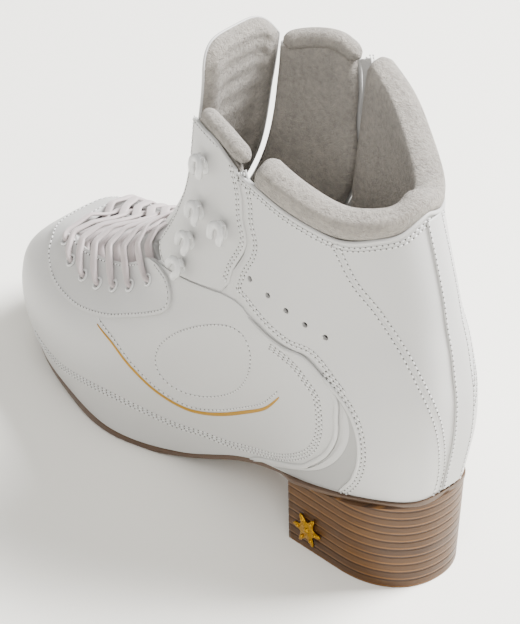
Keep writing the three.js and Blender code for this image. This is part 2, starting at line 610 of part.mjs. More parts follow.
// ---------- tongue ----------
const TONGUE_OUTER = -2.4;
const TONGUE_SIDES = [-0.225, 0.205]; // narrower than the space between the flaps
const TONGUE_FOLD = 0.725;
const tongueTop = (along) => 1.235 - 0.09 * (2 * along - 1) ** 4;
const upperTongue = (along, across) => [mix(...TONGUE_SIDES, along), mix(TONGUE_FOLD, tongueTop(along), across)];
const tonguePadOuter = TONGUE_OUTER - TONGUE_LEATHER - CURVE_GAP;
add("tongue_leather", sheet(upperTongue, 6, 8, TONGUE_OUTER, TONGUE_OUTER - TONGUE_LEATHER), whiteLeather);
add("tongue_padding", sheet(shrunk(upperTongue, 0.01, 0.99, 0.004, 0.996), 6, 8, tonguePadOuter,
  tonguePadOuter - TONGUE_PAD), suede);
const LACE_SPACE = 2 * (2 * LACE_RADIUS + LACE_CLEARANCE);
const BASE_OUTER = -1 - LACE_SPACE;
const TONGUE_BASE = 3;
// The fixed part of the tongue narrows where it rises between the flaps.
const tongueBase = (along, across) => {
  const up = mix(0.42, TONGUE_FOLD - 0.006, across);
  const half = mix(0.4, 0.235, clamp((up - 0.57) / 0.07, 0, 1));
  return [mix(-half, half, along), up];
};
add("tongue_base", sheet(tongueBase, 12, 6, BASE_OUTER, BASE_OUTER - TONGUE_BASE), suede);

// ---------- lace ----------
const UNDER = INNER_FACE - LACE_RADIUS - LACE_CLEARANCE - 0.4;
const OVER = OVERLAY_TOP + CURVE_GAP + EYELET_RIM_THICKNESS + LACE_RADIUS + LACE_CLEARANCE;
const LOWER = BASE_OUTER + LACE_RADIUS + 2 * LACE_CLEARANCE;
const UPPER = LOWER + 2 * LACE_RADIUS + LACE_CLEARANCE;

// Where a strand between two rows of eyelets passes over the ridge of the foot.
function ridgeUp(row) {
  const next = Math.min(row + 1, EYELETS.length - 1);
  const middle = surface(...EYELETS[row]).add(surface(...EYELETS[next])).multiplyScalar(0.5);
  let [low, high] = [0.45, 0.8];
  for (let i = 0; i < 24; i += 1) {
    const up = (low + high) / 2;
    const along = surface(0, up + 0.01).sub(surface(0, up - 0.01));
    const rest = surface(0, up).sub(middle);
    if (rest.x * along.x + rest.z * along.z < 0) low = up;
    else high = up;
  }
  return low;
}

// One strand: out of the eyelet, over the facing, across the ridge and under the other facing.
function strand(side, row, level) {
  const [r0, u0] = EYELETS[row];
  const [r1, u1] = EYELETS[Math.min(row + 1, EYELETS.length - 1)];
  const top = ridgeUp(row);
  const at = (t, off) => {
    const bow = 1 - (2 * t - 1) ** 2;
    return [side * mix(r0, -r1, t), mix(u0, u1, t) + bow * (top - (u0 + u1) / 2), off];
  };
  // The first strands also cross the front of the facing, so they stay high for longer.
  const edge = row ? 0.14 : 0.32;
  const over = row ? OVER : OVER + 0.9;
  return [[side * r0, u0, UNDER], [side * r0, u0, over], at(edge, over), at(0.5, level),
    at(0.68, mix(level, UNDER, 0.6)), at(0.86, UNDER)];
}

// Half of the lace, from under the first row to the side of the boot.
function laceHalf(side) {
  const points = [];
  EYELETS.forEach((_, row) => {
    const from = side * (row % 2 ? -1 : 1);
    points.push(...strand(from, row, from > 0 ? UPPER : LOWER));
  });
  const end = EYELETS.length % 2 ? -side : side;
  points.push([end * 0.4, 0.59, UNDER - 0.4], [end * 0.44, 0.585, UNDER - 1.5]);
  return { points: points.map(offFace), end };
}

// A round cord along a line of points, kept from twisting.
function cord(points, radius, sides) {
  let side = new THREE.Vector3(0, 0, 1);
  const loops = points.map((p, i) => {
    const before = i ? p.clone().sub(points[i - 1]).normalize() : points[1].clone().sub(p).normalize();
    const after = i + 1 < points.length ? points[i + 1].clone().sub(p).normalize() : before;
    const along = before.clone().add(after).normalize();
    const wide = 1 / Math.max(along.dot(before), 0.7);
    side = side.clone().addScaledVector(along, -side.dot(along)).normalize();
    const other = new THREE.Vector3().crossVectors(along, side);
    const bend = after.clone().sub(before);
    const out = bend.length() > 1e-6 ? bend.normalize() : other;
    return Array.from({ length: sides }, (_, k) => {
      const angle = (2 * Math.PI * (k + 0.5)) / sides;
      const spoke = side.clone().multiplyScalar(Math.cos(angle)).addScaledVector(other, Math.sin(angle));
      spoke.addScaledVector(out, spoke.dot(out) * (wide - 1));
      return p.clone().addScaledVector(spoke, radius);
    });
  });
  return loft(loops);
}

// The hank of spare lace on the footbed, and where its front face is.
const HANK_X = 50 * LONG;
const footbedTop = (x) => featherZ(x) + FOOTBED_BASE + FOOTBED;
const hankTilt = Math.atan2(footbedTop(HANK_X - 20) - footbedTop(HANK_X + 20), 40);
const hankPlace = new THREE.Matrix4().makeRotationY(hankTilt)
  .setPosition(HANK_X, 0, footbedTop(HANK_X) + CURVE_GAP + HANK_HEIGHT / 2);
function hank() {
  const [half, round] = [HANK_LENGTH / 2 - HANK_HEIGHT / 2, HANK_HEIGHT / 2];
  const outline = new THREE.Shape();
  outline.moveTo(-half, -round);
  outline.lineTo(half, -round);
  outline.absarc(half, 0, round, -Math.PI / 2, Math.PI / 2, false);
  outline.lineTo(-half, round);
  outline.absarc(-half, 0, round, Math.PI / 2, (3 * Math.PI) / 2, false);
  const body = new THREE.ExtrudeGeometry(outline, { depth: HANK_WIDTH, bevelEnabled: false, curveSegments: 8 });
  return body.translate(0, 0, -HANK_WIDTH / 2).rotateX(Math.PI / 2).applyMatrix4(hankPlace);
}
const inHank = (x, y, z) => new THREE.Vector3(x, y, z).applyMatrix4(hankPlace);

const halves = [laceHalf(1), laceHalf(-1)];
const bar = [0.6, 0.2, -0.2, -0.6].map((t) => offFace([t * EYELETS[0][0], EYELETS[0][1] + 0.004, UNDER]));
const tails = halves.map(({ end }) => [
  new THREE.Vector3(122 * LONG, end * 25 * WIDE, 100 * TALL),
  new THREE.Vector3(104 * LONG, end * 13 * WIDE, 84 * TALL),
  inHank(HANK_LENGTH / 2 + 8, end * 5, 3),
  inHank(HANK_LENGTH / 2 + LAYER_GAP, end * 5, 2),
]);
const route = [...tails[1].slice().reverse(), ...halves[1].points.slice().reverse(), ...bar.slice().reverse(),
  ...halves[0].points, ...tails[0]];
add("lace", cord(route, LACE_RADIUS, 8), laceMaterial);
add("lace_hank", hank(), laceMaterial);
for (const [name, side] of [["outer", 1], ["inner", -1]]) {
  const tip = new THREE.CylinderGeometry(AGLET_RADIUS, AGLET_RADIUS, AGLET_LENGTH, 10).rotateZ(Math.PI / 2);
  const beside = HANK_WIDTH / 2 + AGLET_RADIUS + LAYER_GAP;
  tip.translate(0, side * beside, -HANK_HEIGHT / 2 + AGLET_RADIUS + LAYER_GAP).applyMatrix4(hankPlace);
  add(`${name}_aglet`, tip, clearPlastic);
}

// ---------- eyelets and hooks ----------
function eyelet(place) {
  const seatHeight = OVERLAY_TOP + CURVE_GAP;
  const top = seatHeight + EYELET_RIM_THICKNESS;
  const barrel = EYELET_BORE + EYELET_WALL;
  const rim = barrel + EYELET_RIM;
  const bottom = INNER_FACE - 0.4;
  const profile = [[EYELET_BORE, bottom], [barrel, bottom], [barrel, seatHeight],
    [rim, seatHeight], [rim, top], [EYELET_BORE, top], [EYELET_BORE, bottom]];
  const ring = new THREE.LatheGeometry(profile.map((p) => new THREE.Vector2(...p)), HOLE_SIDES);
  return seat(ring.rotateX(Math.PI / 2), place, 0);
}
EYELETS.forEach((place, i) => {
  add(`outer_eyelet_${i + 1}`, eyelet(place), whiteMetal);
  add(`inner_eyelet_${i + 1}`, eyelet([-place[0], place[1]]), whiteMetal);
});

// Speed-lacing hook: a riveted foot, a neck and a lip that turns back over the foot.
function hook(place) {
  const profile = new THREE.Shape();
  const [back, front] = [-HOOK_LENGTH / 2, HOOK_LENGTH / 2];
  const rise = HOOK_REACH;
  const outline = [[back, 0], [front, 0], [front, 1.4], [1.5, 1.4], [0.6, 2.4], [1.4, rise - 1.4], [front - 2, rise - 1],
    [front - 1.2, rise + 0.2], [1, rise], [-1.4, rise - 1.6], [-1.6, 2.2], [-2.4, HOOK_PLATE], [back, HOOK_PLATE]];
  outline.forEach(([x, y], i) => (i ? profile.lineTo(x, y) : profile.moveTo(x, y)));
  const body = new THREE.ExtrudeGeometry(profile, { depth: HOOK_WIDTH, bevelEnabled: false });
  body.translate(0, 0, -HOOK_WIDTH / 2).rotateX(Math.PI / 2).rotateZ(Math.PI / 2);
  return seat(body, place, LAYER_GAP + 0.35);
}
const HOOKS = [[0.348, 0.938], [0.357, 0.838], [0.425, 0.826], [0.363, 0.758], [0.38, 0.672]];
for (const [name, side] of [["outer", 1], ["inner", -1]]) {
  HOOKS.forEach(([round, up], i) => {
    const rise = side < 0 ? innerFlapRise(round, up) : 0;
    add(`${name}_hook_${i + 1}`, hook([round * side, up + rise]), whiteMetal);
  });
}

// The origin is the middle of the box that the boot stands in, at floor level.
const box = new THREE.Box3().setFromObject(boot);
boot.position.set(-(box.min.x + box.max.x) / 2, -(box.min.y + box.max.y) / 2, -box.min.z);

export default boot;
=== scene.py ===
import math

import bmesh
import bpy
import numpy as np
from bpy.props import FloatProperty, FloatVectorProperty, IntProperty, PointerProperty
from mathutils import Matrix, Vector


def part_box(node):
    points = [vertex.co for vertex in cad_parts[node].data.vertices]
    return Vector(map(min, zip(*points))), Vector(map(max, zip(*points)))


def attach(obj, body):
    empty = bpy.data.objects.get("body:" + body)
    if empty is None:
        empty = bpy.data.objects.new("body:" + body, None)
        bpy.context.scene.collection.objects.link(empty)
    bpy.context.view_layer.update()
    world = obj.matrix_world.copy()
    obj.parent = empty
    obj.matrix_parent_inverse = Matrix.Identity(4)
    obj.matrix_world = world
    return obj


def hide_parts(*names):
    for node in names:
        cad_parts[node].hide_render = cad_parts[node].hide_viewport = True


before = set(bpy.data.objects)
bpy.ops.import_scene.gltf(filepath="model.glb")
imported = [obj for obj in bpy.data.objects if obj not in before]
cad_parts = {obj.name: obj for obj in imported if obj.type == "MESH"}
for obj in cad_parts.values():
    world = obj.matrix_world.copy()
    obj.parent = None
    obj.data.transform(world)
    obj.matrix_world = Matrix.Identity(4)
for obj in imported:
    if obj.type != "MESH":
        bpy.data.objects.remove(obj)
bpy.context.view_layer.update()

bl_info = {
    "name": "Figure skating boot",
    "version": (1, 0, 0),
    "blender": (4, 5, 0),
    "location": "3D View > Sidebar > Boot",
    "description": "Builds a white leather skating boot around its packed frame",
    "category": "Add Mesh",
}

MM = 0.001

# ---------- the shape of the upper, as in the solids, in millimetres ----------
# Rings climb the boot from the sole edge (0) to the top of the tongue (1.25): place, front point,
# back point, bluntness of the two ends, sag along the sole, outer half widths, extra inner widths.
SHARES = [0, 0.15, 0.3, 0.45, 0.6, 0.8, 1]
RINGS = [
    (0, (262, 13), (-1, 52), 0.42, 0.52, 1, (48, 46, 43.5, 30, 26.5, 34.5, 36), (0, 3, 7, 3, 1, 0, 0)),
    (0.1, (273, 24), (-3.5, 66), 0.42, 0.52, 0.92, (48, 49, 47, 35, 29, 37, 38), (0, 3, 7, 3, 1, 0, 0)),
    (0.2, (276, 37), (-6, 80), 0.42, 0.54, 0.75, (47, 50, 49, 39, 33, 38.5, 40), (0, 3, 6, 2, 0, 0, 0)),
    (0.3, (273, 50), (-7.2, 94), 0.43, 0.56, 0.55, (44, 46, 48, 42, 36.5, 39, 40), (0, 2, 4, 1, 0, 0, 0)),
    (0.38, (263, 62), (-7, 107), 0.45, 0.58, 0.4, (39, 38, 44, 42.5, 39, 39, 39), (0,) * 7),
    (0.46, (245, 74.5), (-5, 119), 0.47, 0.62, 0.28, (32, 31.5, 39, 42, 40, 38.5, 38), (0,) * 7),
    (0.54, (222, 87), (-2.8, 131), 0.5, 0.68, 0.17, (26, 29, 36, 40.5, 40, 37.5, 37), (0,) * 7),
    (0.62, (197, 101), (0.5, 143), 0.5, 0.75, 0.08, (27, 31.5, 36, 39, 39, 36.5, 35.5), (0,) * 7),
    (0.72, (175, 121), (3.5, 157), 0.5, 0.83, 0.03, (32, 35, 37, 38, 37.5, 35.5, 34.5), (0,) * 7),
    (0.84, (157, 153), (9, 176), 0.5, 0.9, 0, (35, 36.5, 37, 37, 36.5, 35, 34), (0,) * 7),
    (1, (148, 200), (16, 198), 0.5, 0.95, 0, (36, 37, 37.5, 37, 36.5, 35.5, 34), (0, 2, 3, 3, 3, 1, 0)),
    (1.25, (144, 250), (21, 225), 0.5, 0.95, 0, (38, 39, 40, 39, 38, 36.5, 34), (0, 5, 8, 8, 6, 2, 0)),
]
FEATHER_X = [-10, 0, 35, 72, 91, 109, 123, 138, 151, 162, 176, 191, 207, 225, 245, 262, 285]
FEATHER_Z = [53, 52, 45, 36, 30.5, 23.3, 16.2, 9.2, 5.7, 4.6, 4.9, 6, 7.6, 9, 11, 13.5, 18]
SOLE_X = [72, 91, 109, 123, 138, 150, 156, 196, 210, 225, 245, 262, 285]
SOLE_Z = [33.4, 27, 19.5, 12.4, 5.6, 1.6, 0, 0, 1.6, 4, 7.6, 10.6, 15.4]
STRAIGHT_TO_X = 95
BEND = 0.00055
HEEL_BREAST_X = 68
HEEL_HALF_WIDTH = 29.7
HEEL_ROUND = 36
HEEL_FLARE = 1.4
HEEL_STACK = 30


def slopes(xs):
    """The matrix that turns a table's values into its slopes at its own points."""
    n = len(xs)
    made = np.zeros((n, n))
    for i in range(1, n - 1):
        before, after = xs[i] - xs[i - 1], xs[i + 1] - xs[i]
        whole = before * after * (before + after)
        made[i, i + 1] = before**2 / whole
        made[i, i - 1] = -(after**2) / whole
        made[i, i] = (after**2 - before**2) / whole
    made[0, :2] = np.array([-1, 1]) / (xs[1] - xs[0])
    made[-1, -2:] = np.array([-1, 1]) / (xs[-1] - xs[-2])
    return made


def smooth_table(xs, ys, at):
    """A smooth curve through a table. ys has a row for each x, and at holds the places to read."""
    xs, ys, at = np.asarray(xs, float), np.asarray(ys, float), np.asarray(at, float)
    rise = slopes(xs) @ ys
    i = np.clip(np.searchsorted(xs, at, side="right") - 1, 0, len(xs) - 2)
    h = xs[i + 1] - xs[i]
    t = (at - xs[i]) / h
    if ys.ndim > 1:
        t, h = t[:, None], h[:, None]
    a, c = (2 * t - 3) * t * t + 1, (3 - 2 * t) * t * t
    b, d = ((t - 2) * t + 1) * t, (t - 1) * t * t
    return a * ys[i] + b * h * rise[i] + c * ys[i + 1] + d * h * rise[i + 1]


RING_PLACES = [ring[0] for ring in RINGS]
RING_ROWS = np.array(
    [
        [*toe, *heel, toe_end, heel_end, sag, *half, *(np.array(half) + inner)]
        for _, toe, heel, toe_end, heel_end, sag, half, inner in RINGS
    ]
)
SHARE_SLOPES = slopes(SHARES)


def feather_z(x):
    """Height of the line along which the upper meets the sole."""
    return smooth_table(FEATHER_X, FEATHER_Z, np.clip(x, FEATHER_X[0], FEATHER_X[-1]))


def surface(turn, up):
    """Points of the outer face, from 0 at the front to 1 or -1 at the back, and up the rings."""
    turn, up = np.broadcast_arrays(np.asarray(turn, float), np.asarray(up, float))
    turn = np.where(turn > 1, turn - 2, np.where(turn < -1, turn + 2, turn))
    row = smooth_table(RING_PLACES, RING_ROWS, up)
    toe_x, toe_z, heel_x, heel_z, toe_end, heel_end, sag = row.T[:7]
    front = np.abs(turn) < 0.5
    side = np.sin(np.pi * np.abs(turn))
    power = 2 / np.where(front, toe_end, heel_end)
    reach = np.sqrt(np.maximum(1 - side**power, 0))
    share = np.where(front, (1 - reach) / 2, (1 + reach) / 2)
    halves = np.where((turn < 0)[:, None], row[:, 14:21], row[:, 7:14])
    half = width_at(halves, share)
    x = toe_x + (heel_x - toe_x) * share
    straight = 13 + 39 * (262 - x) / 263
    z = toe_z + (heel_z - toe_z) * share + sag * (feather_z(x) - straight)
    y = np.sign(turn) * half * side - BEND * np.maximum(x - STRAIGHT_TO_X, 0) ** 2
    return np.stack([x, y, z], -1)


def width_at(halves, share):
    """Half width of each ring at a share of its length, from a row of widths for each point."""
    xs = np.asarray(SHARES)
    rise = halves @ SHARE_SLOPES.T
    i = np.clip(np.searchsorted(xs, share, side="right") - 1, 0, len(xs) - 2)
    h = xs[i + 1] - xs[i]
    t = (share - xs[i]) / h
    pick = np.arange(len(share))
    a, c = (2 * t - 3) * t * t + 1, (3 - 2 * t) * t * t
    b, d = ((t - 2) * t + 1) * t, (t - 1) * t * t
    low, high = halves[pick, i], halves[pick, i + 1]
    return a * low + b * h * rise[pick, i] + c * high + d * h * rise[pick, i + 1]


def unit(v):
    return v / np.maximum(np.linalg.norm(v, axis=-1, keepdims=True), 1e-12)


def outward(turn, up):
    """Unit normals of the outer face."""
    turn, up = np.broadcast_arrays(np.asarray(turn, float), np.asarray(up, float))
    step = 0.004
    low = np.maximum(up - step, 0)
    along = surface(turn + step, up) - surface(turn - step, up)
    climb = surface(turn, low + 2 * step) - surface(turn, low)
    return unit(np.cross(along, climb))


def off_face(turn, up, off):
    """Points at a distance off the outer face, inwards where it is negative."""
    return surface(turn, up) + outward(turn, up) * np.asarray(off, float)[..., None]


HEEL_LOW, HEEL_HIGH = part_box("heel_top_piece")
ORIGIN = np.array([HEEL_HIGH[0] - HEEL_BREAST_X * MM, (HEEL_LOW[1] + HEEL_HIGH[1]) / 2, HEEL_LOW[2]])


def placed(points):
    """Millimetres of the boot's own layout, as metres in the frame."""
    return ORIGIN + np.asarray(points, float) * MM


# ---------- lines of the pattern, as (turn, up) ----------
THROAT = [(0, 0.475), (0.1, 0.475), (0.19, 0.472), (0.255, 0.468), (0.3, 0.485), (0.325, 0.53),
          (0.325, 0.58), (0.318, 0.612)]
PATCH_EDGE = [(0, 0.405), (0.13, 0.408), (0.212, 0.4), (0.273, 0.364), (0.325, 0.336), (0.37, 0.342),
              (0.402, 0.38), (0.422, 0.428), (0.442, 0.505), (0.425, 0.56), (0.385, 0.606), (0.345, 0.622)]
FLAP_FRONT = [(0.352, 0.632), (0.305, 0.668), (0.272, 0.71), (0.262, 0.8), (0.262, 0.9), (0.25, 1.0)]
FLAP_BACK = [(0.468, 0.664), (0.47, 0.7), (0.466, 0.75), (0.474, 0.82), (0.458, 0.88), (0.452, 0.93),
             (0.437, 0.985)]
FLAP_TOP = [(0.25, 1.0), (0.32, 1.012), (0.38, 1.015), (0.437, 0.985)]
FRONT_REAR = [(0.474, 0.655), (0.505, 0.643), (0.536, 0.606), (0.6, 0.526), (0.638, 0.5), (0.68, 0.4),
              (0.686, 0.318), (0.686, 0.242), (0.673, 0.162), (0.651, 0.098), (0.63, 0.06), (0.56, 0)]
QUARTER_FRONT = [(0.567, 0), (0.637, 0.06), (0.658, 0.098), (0.68, 0.162), (0.693, 0.242), (0.693, 0.318),
                 (0.687, 0.402), (0.645, 0.508), (0.607, 0.534), (0.543, 0.614), (0.513, 0.652),
                 (0.485, 0.685), (0.475, 0.75), (0.482, 0.82), (0.466, 0.88), (0.46, 0.93), (0.445, 0.982)]
BACK_SEAM = [(0.955, 0), (0.958, 0.103), (0.918, 0.29), (0.884, 0.382), (0.852, 0.475), (0.815, 0.588),
             (0.765, 0.712), (0.714, 0.798), (0.675, 0.905)]
COLLAR_EDGE = [(0.445, 0.982), (0.54, 0.95), (0.61, 0.93), (0.675, 0.912), (0.72, 0.912), (0.79, 0.928),
               (0.867, 0.945), (0.938, 0.978), (1, 1)]
CRESCENT_REAR = [(0.687, 0.004), (0.71, 0.082), (0.72, 0.2), (0.708, 0.33), (0.664, 0.455)]
CRESCENT_FRONT = [(0.59, 0.004), (0.661, 0.082), (0.698, 0.2), (0.7, 0.33), (0.66, 0.45)]
EYELETS = [(0.233, 0.44), (0.3, 0.415), (0.338, 0.412), (0.36, 0.43), (0.373, 0.462), (0.38, 0.5),
           (0.378, 0.556)]
HOOKS = [(0.348, 0.938), (0.357, 0.838), (0.425, 0.826), (0.363, 0.758), (0.38, 0.672)]
VENTS = [(0.498, 0.738), (0.543, 0.705), (0.585, 0.668), (0.623, 0.63), (0.66, 0.598)]
LOWER_SEAM = [(0.3, 0.088), (0.358, 0.098), (0.417, 0.148), (0.452, 0.152), (0.482, 0.132), (0.512, 0.098),
              (0.543, 0.048), (0.59, 0.052), (0.633, 0.11), (0.655, 0.178), (0.662, 0.27), (0.656, 0.365),
              (0.64, 0.42), (0.62, 0.47), (0.59, 0.512)]
COLLAR_RISE = 0.065
COLLAR_APRON = 0.74
COLLAR_DEPTH = 9
COLLAR_FROM = 0.473
LEATHER = 1.8
FLAP_OFF = 0.15
FACING_OFF = 1.25
FACING_THICKNESS = 1.3


def line(points):
    """A smooth line through points, read by share of its length."""
    p = np.asarray(points, float)
    padded = np.vstack([p[:1], p, p[-1:]])
    t = np.linspace(0, 1, 24, endpoint=False)[:, None]
    rows = []
    for p0, p1, p2, p3 in zip(padded, padded[1:], padded[2:], padded[3:]):
        a, b = 0.5 * (p2 - p0), 0.5 * (p3 - p1)
        rows.append((2 * p1 - 2 * p2 + a + b) * t**3 + (-3 * p1 + 3 * p2 - 2 * a - b) * t**2 + a * t + p1)
    dense = np.vstack([*rows, p[-1:]])
    run = np.concatenate([[0], np.cumsum(np.linalg.norm(np.diff(dense, axis=0), axis=1))])
    share = run / run[-1]
    return lambda at: np.stack([np.interp(at, share, column) for column in dense.T], -1)


def straight(a, b):
    a, b = np.asarray(a, float), np.asarray(b, float)
    return lambda at: a + (b - a) * np.asarray(at)[..., None]


def patch(front, back, bottom, top):
    """The patch between four lines: front and back run upwards, bottom and top run backwards."""

    def place(along, across):
        s, t = along[:, None], across[:, None]
        zero, one = np.zeros_like(along), np.ones_like(along)
        sides = front(across) * (1 - s) + back(across) * s
        ends = bottom(along) * (1 - t) + top(along) * t
        low = front(zero) * (1 - s) + back(zero) * s
        high = front(one) * (1 - s) + back(one) * s
        return sides + ends - low * (1 - t) - high * t

    return place


def block(turn_0, turn_1, up_0, up_1):
    return lambda along, across: np.stack(
        [turn_0 + (turn_1 - turn_0) * along, up_0 + (up_1 - up_0) * across], -1
    )


def inner_rise(turn):
    """How much higher the inner side of the shaft stands than the outer."""
    side = np.abs(np.where(turn > 1, 2 - turn, turn))
    near = np.clip((0.97 - side) / 0.4, 0, 1)
    return 0.14 * near * near * (3 - 2 * near)


def collar_up(turn):
    """The edge of the leather under the padded collar."""
    turn = np.asarray(turn, float)
    side = np.where(turn > 1, 2 - turn, turn)
    dense = line(COLLAR_EDGE)(np.linspace(0, 1, 200))
    edge = np.interp(side, dense[:, 0], dense[:, 1])
    return edge + np.where(turn > 1, inner_rise(turn), 0)


def on_side(place, side):
    """A shaft piece on the outer side (1), or its taller mirror image on the inner side (-1)."""

    def made(along, across):
        p = place(along, across)
        turn = np.where(p[:, 0] > 1, p[:, 0], p[:, 0] * side)
        high = np.clip((p[:, 1] - COLLAR_APRON) / 0.2, 0, 1)
        rise = np.where((turn > 1) | (side < 0), inner_rise(p[:, 0]) * high, 0)
        return np.stack([turn, p[:, 1] + rise], -1)

    return made


def flap_rise(turn, up):
    return 0.13 * np.clip((up - COLLAR_APRON) / 0.25, 0, 1) * np.clip(np.abs(turn) / 0.4, 0, 1)


def flap_on(side):
    bottom = line([FLAP_FRONT[0], (0.4, 0.64), FLAP_BACK[0]])
    place = patch(line(FLAP_FRONT), line(FLAP_BACK), bottom, line(FLAP_TOP))

    def made(along, across):
        p = place(along, across)
        rise = flap_rise(p[:, 0], p[:, 1]) if side < 0 else 0
        return np.stack([p[:, 0] * side, p[:, 1] + rise], -1)

    return made


def front_place(along, across):
    """The front panel round the toe. across runs from the throat (0) to the sole edge (1)."""
    side = along * 2 - 1
    reach = np.abs(side)
    inner = line([*THROAT, (0.34, 0.622), (0.4, 0.635), FRONT_REAR[0]])(reach)
    end = line(FRONT_REAR)(across)
    first, last = np.array(FRONT_REAR[0]), np.array(FRONT_REAR[-1])
    sole = np.stack([last[0] * reach, np.zeros_like(reach)], -1)
    t = across[:, None]
    flat = first * (1 - t) + last * t
    p = inner * (1 - t) + sole * t + (reach**3)[:, None] * (end - flat)
    return np.stack([np.sign(side) * p[:, 0], p[:, 1]], -1)


def patch_place(along, across):
    side = along * 2 - 1
    a, b = line([*THROAT, (0.33, 0.618)])(np.abs(side)), line(PATCH_EDGE)(np.abs(side))
    p = a + (b - a) * across[:, None]
    return np.stack([np.sign(side) * p[:, 0], p[:, 1]], -1)


quarter_place = patch(
    line(QUARTER_FRONT), line(BACK_SEAM), straight(QUARTER_FRONT[0], BACK_SEAM[0]),
    line([*COLLAR_EDGE[:3], BACK_SEAM[-1]]),
)
BACK_TOP = [
    BACK_SEAM[-1], *COLLAR_EDGE[4:], *[(2 - turn, up) for turn, up in COLLAR_EDGE[-2:3:-1]],
    (2 - BACK_SEAM[-1][0], 0.905),
]
back_place = patch(
    line(BACK_SEAM), lambda at: np.array([2, 0]) + line(BACK_SEAM)(at) * [-1, 1],
    straight(BACK_SEAM[0], (2 - BACK_SEAM[0][0], 0)), line(BACK_TOP),
)
crescent_place = patch(
    line(CRESCENT_FRONT), line(CRESCENT_REAR), straight(CRESCENT_FRONT[0], CRESCENT_REAR[0]),
    straight(CRESCENT_FRONT[-1], CRESCENT_REAR[-1]),
)


# ---------- materials ----------
class Value:
    """A socket of a material's nodes, with Python's operators for numbers."""

    def __init__(self, maker, socket):
        self.maker, self.socket = maker, socket

    def math(self, operation, a, b=0.0):
        return self.maker.node("ShaderNodeMath", {"operation": operation}, {0: a, 1: b})

    def __add__(self, other):
        return self.math("ADD", self, other)

    def __sub__(self, other):
        return self.math("SUBTRACT", self, other)

    def __rsub__(self, other):
        return self.math("SUBTRACT", other, self)

    def __mul__(self, other):
        return self.math("MULTIPLY", self, other)

    def __truediv__(self, other):
        return self.math("DIVIDE", self, other)

    def __mod__(self, other):
        return self.math("FLOORED_MODULO", self, other)

    __radd__ = __add__
    __rmul__ = __mul__

    def floor(self):
        return self.math("FLOOR", self)

    def sine(self):
        return self.math("SINE", self)

    def absolute(self):
        return self.math("ABSOLUTE", self)

    def clamped(self, low=0.0, high=1.0):
        return self.maker.node("ShaderNodeClamp", {}, {"Value": self, "Min": low, "Max": high})


class Finish:
    """A material under construction: one Principled shader and the nodes that feed it."""

    def __init__(self, name, **constants):
        self.material = bpy.data.materials.new(name)
        self.material.use_nodes = True
        self.tree = self.material.node_tree
        self.shader = self.tree.nodes["Principled BSDF"]
        for socket, value in constants.items():
            self.shader.inputs[socket.replace("_", " ")].default_value = value

    def node(self, kind, settings, inputs, output=0):
        """Adds a node. A ramp's stops are its settings["stops"]."""
        made = self.tree.nodes.new(kind)
        for key, value in settings.items():
            if key == "stops":
                self.set_stops(made.color_ramp, value)
            else:
                setattr(made, key, value)
        for key, value in inputs.items():
            if isinstance(value, Value):
                self.tree.links.new(value.socket, made.inputs[key])
            else:
                made.inputs[key].default_value = value
        return Value(self, made.outputs[output])

    @staticmethod
    def set_stops(ramp, stops):
        while len(ramp.elements) < len(stops):
            ramp.elements.new(0.5)
        for element, (place, colour) in zip(ramp.elements, stops):
            element.position = place
            element.color = colour

    def feed(self, socket, value):
        self.tree.links.new(value.socket, self.shader.inputs[socket])
        return self

    def object_coords(self, scale=(1, 1, 1)):
        coords = self.node("ShaderNodeTexCoord", {}, {}, "Object")
        return self.node("ShaderNodeMapping", {}, {"Vector": coords, "Scale": scale})

    def uv_coords(self):
        return self.node("ShaderNodeTexCoord", {}, {}, "UV")

    def axis(self, coords, name):
        return self.node("ShaderNodeSeparateXYZ", {}, {"Vector": coords}, name)

    def noise(self, coords, scale, detail=3.0, rough=0.5):
        inputs = {"Vector": coords, "Scale": scale, "Detail": detail, "Roughness": rough}
        return self.node("ShaderNodeTexNoise", {}, inputs)

    def cells(self, coords, scale, feature="F1", output="Distance"):
        inputs = {"Vector": coords, "Scale": scale}
        return self.node("ShaderNodeTexVoronoi", {"feature": feature}, inputs, output)

    def blend(self, factor, first, second):
        inputs = {"Factor": factor, "A": first, "B": second}
        made = self.tree.nodes.new("ShaderNodeMix")
        made.data_type = "RGBA"
        for key, slot in (("Factor", 0), ("A", 6), ("B", 7)):
            value = inputs[key]
            if isinstance(value, Value):
                self.tree.links.new(value.socket, made.inputs[slot])
            else:
                made.inputs[slot].default_value = value
        return Value(self, made.outputs[2])

    def bump(self, height, strength, distance):
        inputs = {"Height": height, "Strength": strength, "Distance": distance}
        return self.node("ShaderNodeBump", {}, inputs)


def rgba(colour, shade=1.0):
    return tuple(channel * shade for channel in colour[:3]) + (1.0,)


def coated_leather(colour, name="coated_leather"):
    """Smooth coated leather with a fine pebble grain and faint creases."""
    made = Finish(name, Specular_IOR_Level=0.45, Coat_Weight=0.12, Coat_Roughness=0.35)
    coords = made.object_coords()
    pebble = made.cells(coords, 1150.0, "SMOOTH_F1")
    pores = made.noise(coords, 3200.0, 2.0)
    wrinkle = made.noise(coords, 170.0, 4.0, 0.6)
    cloud = made.noise(coords, 14.0, 2.0)
    tone = made.blend(cloud, rgba(colour, 0.97), rgba(colour, 1.0))
    made.feed("Base Color", tone)
    made.feed("Roughness", (cloud * 0.08 + wrinkle * 0.08 + 0.36).clamped())
    height = pebble * 0.5 + pores * 0.25 + wrinkle * 0.9
    made.feed("Normal", made.bump(height, 0.16, 0.0004))
    return made.material


